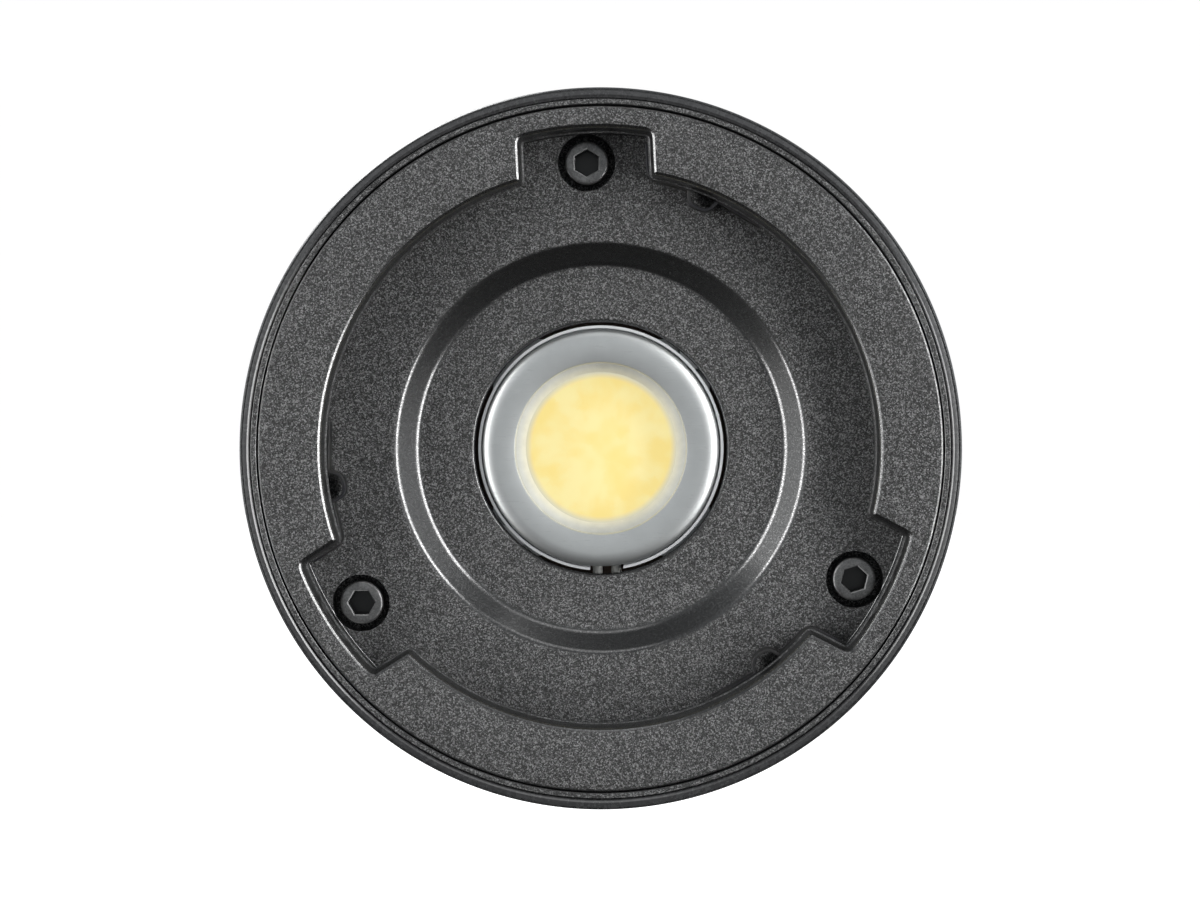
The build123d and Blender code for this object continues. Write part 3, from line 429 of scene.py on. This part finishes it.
dish = bmesh.new()
dish_outline = soften(
    [
        (casting_low.y, lip_radius, 0.0002),
        (casting_low.y, groove_radius + 0.00018, 0.0002),
        (ledge_depth, groove_radius + 0.00018),
        (ledge_depth, ledge_radius),
        (floor_depth, ledge_radius, 0.0003),
        (floor_depth, slope_outer, 0.0007),
        (recess_depth, recess_radius, 0.0008),
        (recess_depth, light_hole, 0.0006),
        (recess_depth + 0.0018, light_hole, 0.0002),
        (recess_depth + 0.0018, recess_radius),
        (web_back, slope_outer + 0.001),
        (web_back, sleeve_inner),
        (casting_high.y, sleeve_inner),
        (casting_high.y, sleeve_outer),
        (flange_back, sleeve_outer),
        (flange_back, lip_radius),
    ]
)
turn(dish, dish_outline, steps=256)
front_dish = shown("front_dish", dish, sandy_black, "head", "front_casting", "light_well")
pockets = bmesh.new()
for angle in window_angles:
    pocket_outline = [
        (pocket_start, 0.0),
        (pocket_start, pocket_radius),
        (pocket_back, pocket_radius),
        (pocket_back, 0.0),
    ]
    turn(pockets, pocket_outline, steps=64, centre=polar(pocket_distance, angle), ends=True)
bmesh.ops.remove_doubles(pockets, verts=pockets.verts, dist=1e-7)
carve(front_dish, pockets)
bevel(front_dish, dish_edge)

# ---------------------------------------------------------------- bayonet ring
# A flat ring of the same coated metal, screwed on from behind. An accessory's three lugs go in at its
# windows and turn behind it. Its edges are broken all round and show as bright lines.
ring_inner = 0.0345
ring_low, ring_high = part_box("bayonet_ring")
ring_outer = (ring_high.x - ring_low.x) / 2
ring_back = 0.0026
window_reach = 0.0397
window_half = 0.0080
corner_size = 0.0006
inner_edge = 0.00045
outer_edge = 0.00032
inner_lean = math.radians(31.5)
outer_lean = math.radians(21)
ring_draft = 0.0005  # how much the windows narrow towards the ring's back
ring_lip = 0.00022  # step left along the back of the wall
post_radius = 0.0008
post_sunk = 0.0001
leaf_post = Vector((0.00875, 0.03466))


def window_edge():
    """The ring's inner outline, anticlockwise from the front, with its three windows."""
    corners = []
    inner_half = math.asin(window_half / ring_inner)
    outer_half = math.asin(window_half / window_reach)
    for angle, following in zip(window_angles, window_angles[1:] + [window_angles[0] + 2 * math.pi]):
        corners.append((*polar(ring_inner, angle - inner_half), corner_size))
        corners.append((*polar(window_reach, angle - outer_half), corner_size))
        reach_gap = math.radians(3.0)
        for step in range(9):
            part = angle - outer_half + reach_gap + 2 * (outer_half - reach_gap) * step / 8
            corners.append(polar(window_reach, part))
        corners.append((*polar(window_reach, angle + outer_half), corner_size))
        corners.append((*polar(ring_inner, angle + inner_half), corner_size))
        rest = following - inner_half - (angle + inner_half) - 2 * reach_gap
        for step in range(49):
            part = angle + inner_half + reach_gap + rest * step / 48
            corners.append(polar(ring_inner, part))
    return soften(corners)


def outward_normals(points):
    """The unit normal at each point of a closed anticlockwise outline, away from its inside."""
    normals = []
    for index, point in enumerate(points):
        along = points[(index + 1) % len(points)] - points[index - 1]
        normals.append(Vector((along.y, -along.x)).normalized())
    return normals


inner_points = window_edge()
outer_points = [point.normalized() * ring_outer for point in inner_points]
inner_normals = outward_normals(inner_points)
outer_normals = [-point.normalized() for point in outer_points]
ring_shape = bmesh.new()
edge_rows = []
for points, normals, order, draft, edge, lean in (
    (outer_points, outer_normals, 1, 0.0, outer_edge, outer_lean),
    (inner_points, inner_normals, -1, ring_draft, inner_edge, inner_lean),
):
    rows = [(-draft * 0.5 + edge * 0.6, ring_back), (-draft * 0.5, ring_back - edge * 0.6)]
    if draft:
        rows.append((-draft * 0.5 + ring_lip * 0.2, ring_back - edge * 1.1))
        rows.append((-draft * 0.5 + ring_lip, ring_back - edge * 1.25))
    for aside in (0.0, 0.12, 0.35, 0.45, 0.90, 1.0):
        steeper = max(0.35 - aside, 0) * 0.9
        rows.append((draft * 0.5 + edge * aside, edge * ((1 - aside) * math.tan(lean) + steeper)))
    for offset, depth in rows[::order]:
        row = []
        for point, normal in zip(points, normals):
            moved = point + normal * offset
            row.append(ring_shape.verts.new((moved.x, depth, moved.y)))
        edge_rows.append(row)
for near, far in zip(edge_rows, edge_rows[1:] + edge_rows[:1]):
    for step in range(len(near)):
        following = (step + 1) % len(near)
        ring_shape.faces.new((near[step], near[following], far[following], far[step]))
post_outline = [
    (ring_back - post_sunk, 0.0),
    (ring_back - post_sunk, post_radius),
    (ring_high.y, post_radius),
    (ring_high.y, 0.0),
]
for angle in window_angles:
    spin = Matrix.Rotation(angle - math.pi / 2, 2)
    turn(ring_shape, post_outline, steps=24, centre=tuple(spin @ leaf_post), ends=True)
bayonet = shown("bayonet_plate", ring_shape, sandy_black, "head", "bayonet_ring")

# ---------------------------------------------------------------- detent springs
# Three strips of blued spring steel on edge. Each is folded round a post behind the ring, runs to a
# bump that clicks the accessory home, and ends free just under the ring's edge.
leaf_half = 0.0002
leaf_leg = Vector((0.0077, 0.0379))
leaf_corner = Vector((0.0077, 0.0337))
leaf_inset = 0.00012
bump_inset = 0.0019
leaf_bend = 0.0011
bump_foot = 0.0004
leaf_end = math.radians(90 - 38.6)


def leaf_path():
    """The strip's middle line beside an upright window, seen from the front."""
    corners = [(*leaf_leg,), (*leaf_corner, leaf_bend)]
    for degrees_aside, inset, size in (
        (21.7, leaf_inset, bump_foot),
        (22.6, bump_inset, leaf_bend),
        (27.2, bump_inset, leaf_bend),
        (28.1, leaf_inset, bump_foot),
    ):
        point = polar(ring_inner - inset, math.radians(90 - degrees_aside))
        corners.append((*point, size))
    corners.append(polar(ring_inner - leaf_inset, leaf_end))
    return soften(corners, steps=6)


def spring_steel():
    """Blued strip with fine lengthwise scratches and a cloudy, uneven tone."""
    finish = Finish("blued_spring_steel")
    drawn = (finish.place * (900.0, 6000.0, 900.0)).noise(1.0, detail=3.0)
    cloud = finish.place.noise(0.004, detail=2.0)
    colour = cloud.steps(0.3, 0.7).mixed((0.05, 0.05, 0.055), (0.10, 0.097, 0.095))
    rough = 0.28 + drawn * 0.2
    return finish.close(colour, rough, drawn, 0.000004, Metallic=0.9 + cloud * 0.1)


blued_steel = spring_steel()
for side, angle in zip(("top", "left", "right"), window_angles):
    leaf_low, leaf_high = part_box(f"detent_spring_{side}")
    spin = Matrix.Rotation(angle - math.pi / 2, 2)
    path = [spin @ point for point in leaf_path()]
    leaf = bmesh.new()
    rows = []
    for index, point in enumerate(path):
        along = path[min(index + 1, len(path) - 1)] - path[max(index - 1, 0)]
        out = Vector((-along.y, along.x)).normalized() * leaf_half
        row = []
        for flank, depth in ((out, leaf_low.y), (-out, leaf_low.y), (-out, leaf_high.y), (out, leaf_high.y)):
            moved = point + flank
            row.append(leaf.verts.new((moved.x, depth, moved.y)))
        rows.append(row)
    for near, far in zip(rows, rows[1:]):
        for step in range(4):
            leaf.faces.new((near[step], near[(step + 1) % 4], far[(step + 1) % 4], far[step]))
    leaf.faces.new(rows[0])
    leaf.faces.new(rows[-1][::-1])
    strip = shown(f"detent_leaf_{side}", leaf, blued_steel, f"detent_{side}", f"detent_spring_{side}")
    bevel(strip, 0.00006, segments=2, angle=60)

# ---------------------------------------------------------------- rim
# The turned collar round the casting, pressed over it and painted a smooth satin black. It has a
# bright leaning edge inside, a fine groove near its outer edge, and light handling marks.
rim_inner = lip_radius + 0.0001
rim_outer = rim_diameter / 2
rim_step = 0.0391
rim_front = rim_low.y - 0.00025  # level with the lip beside it


def smooth_black(name, colour, rough, coat):
    """Sprayed smooth black: a faint ripple, dust-fine marks and a thin clear skin."""
    finish = Finish(name)
    ripple = finish.place.noise(0.0035, detail=2.0)
    marks = finish.place.noise(0.0006, detail=4.0, rough=0.7)
    tone = marks.steps(0.3, 0.75).mixed(colour, tuple(part * 1.6 for part in colour))
    uneven = rough + ripple * 0.06 + marks * 0.08
    fixed = {"Coat Roughness": 0.2}
    return finish.close(tone, uneven, ripple, 0.000008, fixed=fixed, Coat_Weight=coat * (0.6 + marks * 0.4))


satin_rim = smooth_black("satin_rim", (0.036, 0.036, 0.037), 0.20, 1.0)
rim_shape = bmesh.new()
rim_outline = soften(
    [
        (rim_front + 0.00027, rim_inner, 0.00003),
        (rim_front, rim_inner + 0.00036, 0.00003),
        (rim_front + 0.00012, rim_outer - 0.00050, 0.00004),
        (rim_front + 0.00040, rim_outer - 0.00048),
        (rim_front + 0.00040, rim_outer - 0.00034),
        (rim_front + 0.00018, rim_outer - 0.00030, 0.00006),
        (rim_front + 0.00060, rim_outer, 0.00030),
        (rim_high.y, rim_outer, 0.0016),
        (rim_high.y, rim_step),
        (flange_back, rim_step),
        (flange_back, rim_inner),
    ],
    steps=6,
)
turn(rim_shape, rim_outline, steps=320)
shown("satin_collar", rim_shape, satin_rim, "head", "trim_collar")

# ---------------------------------------------------------------- socket screws
# Black-oxide cap screws: three hold the front on the barrel through the lug windows. Each has a round
# head with a broken edge and a hexagon socket, which is turned as the last tightening left it.


def oxide_steel():
    """Blackened steel, patched lighter brown-grey at random."""
    finish = Finish("black_oxide")
    speck = finish.place.noise(0.00025, detail=3.0, rough=0.7)
    cloud = finish.place.noise(0.0015, detail=2.0)
    colour = (speck * 0.6 + cloud * 0.4).steps(0.35, 0.7).mixed((0.12, 0.12, 0.121), (0.27, 0.268, 0.265))
    rough = 0.26 + speck * 0.22
    return finish.close(colour, rough, speck, 0.000010, Metallic=0.55 + cloud * 0.3)


black_oxide = oxide_steel()
# The socket's walls and floor get this near black as a painted shade.
socket_shade = smooth_black("socket_shade", (0.006, 0.006, 0.006), 0.35, 0.3)
# The socket's flared mouth gets this lighter grey as a painted highlight.
socket_mouth_highlight = smooth_black("socket_mouth_highlight", (0.24, 0.24, 0.238), 0.30, 0.5)


def socket_screws(name, node, places, face, back, head, shank, tip, flats, twists, body="head"):
    """Cap screws along the optical axis. The heads' open faces lie at one depth, the tips at another."""
    toward = 1 if tip > face else -1
    shape = bmesh.new()
    sockets = bmesh.new()
    for place, twist in zip(places, twists):
        outline = soften(
            [
                (face, 0.0),
                (face, head, head * 0.14),
                (back, head),
                (back, shank),
                (tip, shank, shank * 0.3),
                (tip, 0.0),
            ],
            steps=3,
        )
        turn(shape, outline, steps=72, centre=place, ends=True)
        key = flats / math.sqrt(3)
        rows = []
        floor = face + toward * abs(back - face) * 0.85
        flare = key * 0.09
        above = face - toward * flare
        below = face + toward * flare
        for depth, size in ((above, key + flare * 2), (below, key), (floor, key)):
            row = []
            for corner in range(6):
                across, up = polar(size, twist + corner * math.pi / 3)
                row.append(sockets.verts.new((place[0] + across, depth, place[1] + up)))
            rows.append(row)
        for near, far in zip(rows, rows[1:]):
            for corner in range(6):
                following = (corner + 1) % 6
                sockets.faces.new((near[corner], near[following], far[following], far[corner]))
        sockets.faces.new(rows[0])
        sockets.faces.new(rows[2][::-1])
    piece = shown(name, shape, black_oxide, body, node)
    carve(piece, sockets)
    piece.data.materials.append(socket_shade)
    piece.data.materials.append(socket_mouth_highlight)
    # Sunk faces take the painted shade, and the flared mouth takes the painted highlight.
    for side in piece.data.polygons:
        beside = min((Vector((side.center.x, side.center.z)) - Vector(place)).length for place in places)
        sunk = (side.center.y - face) * toward
        if beside < key * 1.1 and 0.00001 < sunk < abs(floor - face) * 1.01:
            side.material_index = 1 if sunk > flare else 2
    return piece


screw_low, screw_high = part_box("face_screws")
face_places = [polar(pocket_distance, angle) for angle in window_angles]
face_twists = [math.radians(30), math.radians(0), math.radians(17)]
socket_screws(
    "front_screws",
    "face_screws",
    face_places,
    screw_low.y,
    screw_low.y + 0.003,
    0.00275,
    0.00145,
    screw_high.y,
    0.0030,
    face_twists,
)

# ---------------------------------------------------------------- light module
# The array's yellow phosphor lies inside a white silicone dam on its metal plate. A plastic clamp holds
# the plate on the heat spreader, and a cap spun from bright aluminium covers all but the light.
phosphor_low, phosphor_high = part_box("cob_phosphor")
light_radius = (phosphor_high.x - phosphor_low.x) / 2
dam_low, dam_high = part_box("cob_dam")
dam_radius = (dam_high.x - dam_low.x) / 2
cap_low, cap_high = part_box("led_cap")
cap_radius = (cap_high.x - cap_low.x) / 2
cap_opening = 0.01092
cap_flat = 0.01329
cap_sheet = 0.0005
shoulder_deep = 0.0009
shoulder_wide = cap_radius - cap_flat


def phosphor_gel():
    """Soft yellow gel over the chips: marbled where the phosphor settled, paler at its rim, with a painted
    glow that stands in for the light falling on it.
    """
    finish = Finish("phosphor_gel")
    swirl = finish.place.noise(0.0016, detail=4.0, rough=0.6)
    warped = finish.place + swirl * 0.0012
    ray = finish.place * (1.0, 0.0, 1.0) / finish.radius() + warped * 160.0
    streaks = (ray.noise(0.5, detail=1.0) - 0.5) * finish.radius().steps(0.001, light_radius * 0.7) * 0.45
    marble = streaks + warped.noise(0.0034, detail=1.0)
    body = marble.steps(0.30, 0.70).mixed((0.92, 0.74, 0.27), (0.93, 0.81, 0.38))
    pale = finish.radius().steps(light_radius * 0.90, light_radius * 1.01)
    colour = pale.mixed(body, (0.68, 0.65, 0.50))
    # The emission is a painted glow, and the base colour is kept dim under it.
    fixed = {"Emission Strength": 0.90, "Specular IOR Level": 0.15}
    return finish.close(colour * 0.2, 0.55 + swirl * 0.1, swirl, 0.00002, fixed=fixed, Emission_Color=colour)


def white_silicone():
    """Milky moulded silicone with a soft uneven skin and a painted glow that is dimmer towards its outer
    edge.
    """
    finish = Finish("white_silicone")
    skin = finish.place.noise(0.0011, detail=3.0)
    outward = finish.radius().steps(light_radius - 0.0002, light_radius + 0.0012)
    colour = outward.mixed((0.64, 0.61, 0.47), (0.63, 0.63, 0.58)) * (0.9 + skin * 0.2)
    painted_glow = colour * (1 - outward * 0.4)
    fixed = {"Emission Strength": 0.40, "Specular IOR Level": 0.2}
    return finish.close(colour, 0.5 + skin * 0.1, skin, 0.00003, fixed=fixed, Emission_Color=painted_glow)


def spun_aluminium():
    """Bright spun sheet: fine rings from the spinning tool and a few stray scratches."""
    finish = Finish("spun_aluminium")
    distance = finish.radius()
    height = finish.part(1)
    rings = finish.start.node(
        "ShaderNodeCombineXYZ", {}, {"X": distance * 16000.0, "Y": height * 16000.0, "Z": 0.0}
    ).noise(1.0, detail=2.0)
    scratches = (finish.place * (420.0, 900.0, 2600.0)).noise(1.0, detail=4.0, rough=0.7)
    cloud = finish.place.noise(0.0025, detail=2.0)
    marks = scratches.steps(0.56, 0.70) * 0.25
    colour = (cloud * 0.10 + 0.62 - marks * 0.25) * (0.98, 1.005, 1.0)
    rough = 0.39 + rings * 0.10 + marks * 0.3
    return finish.close(colour, rough, rings * 0.6 + scratches * 0.4, 0.0000035, Metallic=1.0 - marks * 0.1)


gel = bmesh.new()
gel_outline = [(phosphor_high.y, 0.0), (phosphor_high.y, light_radius)]
gel_rise = phosphor_high.y - phosphor_low.y
for step in range(9):
    part = 1 - step / 8
    gel_outline.append((phosphor_low.y + gel_rise * 0.35 * part**6, light_radius * max(part, 0.0)))
turn(gel, gel_outline, steps=128, ends=True)
shown("phosphor_face", gel, phosphor_gel(), "head", "cob_phosphor")
silicone_white = white_silicone()
dam = bmesh.new()
dam_outline = soften(
    [
        (phosphor_low.y + gel_rise * 0.35, light_radius),
        (dam_low.y, light_radius + 0.0009, 0.0008),
        (dam_low.y, dam_radius, 0.0004),
        (dam_high.y, dam_radius),
        (dam_high.y, light_radius),
    ]
)
turn(dam, dam_outline, steps=128)
shown("silicone_dam", dam, silicone_white, "head", "cob_dam")
bright_cap = spun_aluminium()
cap = bmesh.new()
cap_outline = [
    (cap_low.y + 0.00015, cap_opening),
    (cap_low.y + 0.00004, cap_opening + 0.00005),
    (cap_low.y, cap_opening + 0.00016),
]
for thick, order in ((0.0, 1), (cap_sheet, -1)):
    bend = []
    for step in range(13):
        swing = math.pi / 2 * step / 12
        bend.append(
            (
                cap_low.y + shoulder_deep - (shoulder_deep - thick) * math.cos(swing),
                cap_flat + (shoulder_wide - thick) * math.sin(swing),
            )
        )
    bend.append((cap_high.y, cap_radius - thick))
    cap_outline.extend(bend[::order])
cap_outline.append((cap_low.y + cap_sheet, cap_opening))
turn(cap, cap_outline, steps=192)
shown("spun_cap", cap, bright_cap, "head", "led_cap")


def moulded(name, colour, rough=0.45, grain=0.00035, depth=0.00001, metal=0.0, spread=0.25):
    """A moulded or cast skin: fine grain, a cloudy tone and a slightly uneven shine."""
    finish = Finish(name)
    fine = finish.place.noise(grain, detail=3.0, rough=0.6)
    cloud = finish.place.noise(grain * 30, detail=2.0)
    light = 1 - spread / 2 + (fine * 0.5 + cloud * 0.5) * spread
    metallic = metal * (0.9 + cloud * 0.1)
    return finish.close(light * tuple(colour), rough + fine * 0.15, fine, depth, Metallic=metallic)


clamp_plastic = moulded("clamp_plastic", (0.55, 0.56, 0.57), rough=0.35)
plain_steel = moulded("plain_steel", (0.56, 0.56, 0.57), rough=0.28, grain=0.0002, depth=0.000004, metal=1.0)
plate_aluminium = moulded("plate_aluminium", (0.72, 0.73, 0.74), rough=0.35, metal=1.0, depth=0.000003)
grey_pad = moulded("grey_pad", (0.34, 0.36, 0.40), rough=0.7)


def refinish(material, *nodes, edge=0.0):
    """Gives CAD nodes whose shape is right their real finish, and may break their sharp edges."""
    for node in nodes:
        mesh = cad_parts[node].data
        mesh.materials.clear()
        mesh.materials.append(material)
        mesh.shade_smooth()
        mesh.set_sharp_from_angle(angle=math.radians(30))
        if edge:
            bevel(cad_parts[node], edge, segments=2, angle=50)


refinish(clamp_plastic, "cob_holder")
refinish(plate_aluminium, "cob_substrate")
refinish(grey_pad, "thermal_pad")
refinish(plain_steel, "cob_screws", "spreader_screws", "heatsink_screws", "ring_screws")

# ---------------------------------------------------------------- heatsink
# A dulled copper disc takes the heat from the array's plate to an extruded aluminium sink. The sink
# fills the barrel behind the front, and its fins stand open to the first ring of vent slots.
copper = moulded("dulled_copper", (0.16, 0.12, 0.10), rough=0.5, metal=0.8, depth=0.000004)
sink_aluminium = moulded("extruded_aluminium", (0.62, 0.63, 0.65), rough=0.38, grain=0.0006, metal=1.0)
refinish(copper, "heat_spreader", "fan_stator")
refinish(sink_aluminium, "heatsink")

# ---------------------------------------------------------------- fan
# A round axial fan draws air through the sink. Its frame and rotor are moulded in black glass-filled
# nylon, and it stands on turned brass posts behind the fins.
fan_nylon = moulded("fan_nylon", (0.030, 0.030, 0.032), rough=0.42)
turned_brass = moulded("turned_brass", (0.75, 0.55, 0.24), rough=0.25, metal=1.0, depth=0.000003)
refinish(fan_nylon, "fan_frame", "fan_rotor")
refinish(turned_brass, "fan_standoffs", "fan_bearing", "board_posts", "pivot_inserts")
refinish(plain_steel, "fan_shaft", "board_bolts")

# ---------------------------------------------------------------- boards and leads
# Two glass-epoxy boards with a green mask: the driver across the barrel and the control board behind
# the rear cover. They carry their tall parts and meet the array through two silicone leads.


def solder_mask():
    """Green mask: copper runs show through as paler lines, with pale solder points."""
    finish = Finish("solder_mask")
    runs = finish.start.node(
        "ShaderNodeTexBrick",
        {"offset": 0.5},
        {"Vector": finish.place, "Scale": 160.0, "Mortar Size": 0.02, "Mortar Smooth": 0.3},
        output=1,
    )
    cloud = finish.place.noise(0.004, detail=3.0)
    colour = (runs * 0.7 + cloud * 0.3).mixed((0.012, 0.085, 0.035), (0.05, 0.22, 0.09))
    return finish.close(colour, 0.25 + cloud * 0.15, runs, 0.00002)


refinish(solder_mask(), "driver_board", "control_board")
dark_parts = moulded("dark_parts", (0.045, 0.045, 0.05), rough=0.4)
refinish(dark_parts, "driver_parts", "board_link", "display_module", "button_switch")
lead_silicone = moulded("lead_silicone", (0.42, 0.42, 0.40), rough=0.5)
refinish(lead_silicone, "led_leads", "fan_lead")

# ---------------------------------------------------------------- barrel
# The aluminium tube that carries everything, with vent slots at the sink and at the boards. It has the
# same powder coat as the front, sandy all over.
body_black = powder_coat("body_black", (0.060, 0.060, 0.060))
refinish(body_black, "barrel_shell", edge=0.00025)

# ---------------------------------------------------------------- pivot and tilt lock
# A shoulder bolt on one side and a clamping knob on the other hold the yoke's arms to brass inserts in
# the barrel, with white nylon washers under the arms. The knob is moulded in soft black plastic.
washer_nylon = moulded("washer_nylon", (0.72, 0.72, 0.68), rough=0.45)
soft_knob = moulded("soft_knob", (0.022, 0.022, 0.023), rough=0.6, grain=0.0005, depth=0.00002)
refinish(washer_nylon, "pivot_washers")
refinish(black_oxide, "pivot_bolt", edge=0.0002)
refinish(plain_steel, "tilt_lock_stud")
refinish(soft_knob, "tilt_lock_knob", edge=0.0003)

# ---------------------------------------------------------------- rear cover and controls
# A moulded black cover, held by three screws. It has two ribbed dials, a mode button, a rocker switch,
# a smoked window over the display, and the two sockets.
cover_plastic = moulded("cover_plastic", (0.028, 0.028, 0.030), rough=0.5, grain=0.0004, depth=0.00002)


def smoked_window():
    """Smoked acrylic over the dark display, with faint wiping marks."""
    finish = Finish("smoked_window")
    wipes = (finish.place * (300.0, 300.0, 1400.0)).noise(1.0, detail=3.0)
    colour = wipes.mixed((0.010, 0.012, 0.014), (0.018, 0.021, 0.024))
    return finish.close(colour, 0.06 + wipes * 0.08, wipes, 0.000001)


refinish(cover_plastic, "rear_cover", "rocker_frame", "dc_socket", edge=0.0002)
refinish(smoked_window(), "display_window")
refinish(black_oxide, "rear_screws")
refinish(plain_steel, "encoder_bodies", "brightness_shaft", "colour_shaft", "usb_socket")
refinish(soft_knob, "brightness_dial", "colour_dial", "mode_button", "power_rocker", edge=0.00025)

# ---------------------------------------------------------------- yoke and stud receiver
# A bent steel bar, powder coated and folded back behind the head. The turned aluminium receiver bolted
# to its middle takes a stand's stud and clamps it with a lobed knob.
receiver_aluminium = moulded("receiver_aluminium", (0.55, 0.56, 0.58), rough=0.3, metal=1.0, depth=0.000004)
refinish(body_black, "yoke", edge=0.0005)
refinish(receiver_aluminium, "stud_receiver", edge=0.0003)
refinish(black_oxide, "receiver_bolt")
refinish(plain_steel, "receiver_lock_screw")
refinish(soft_knob, "receiver_lock_knob", edge=0.0005)
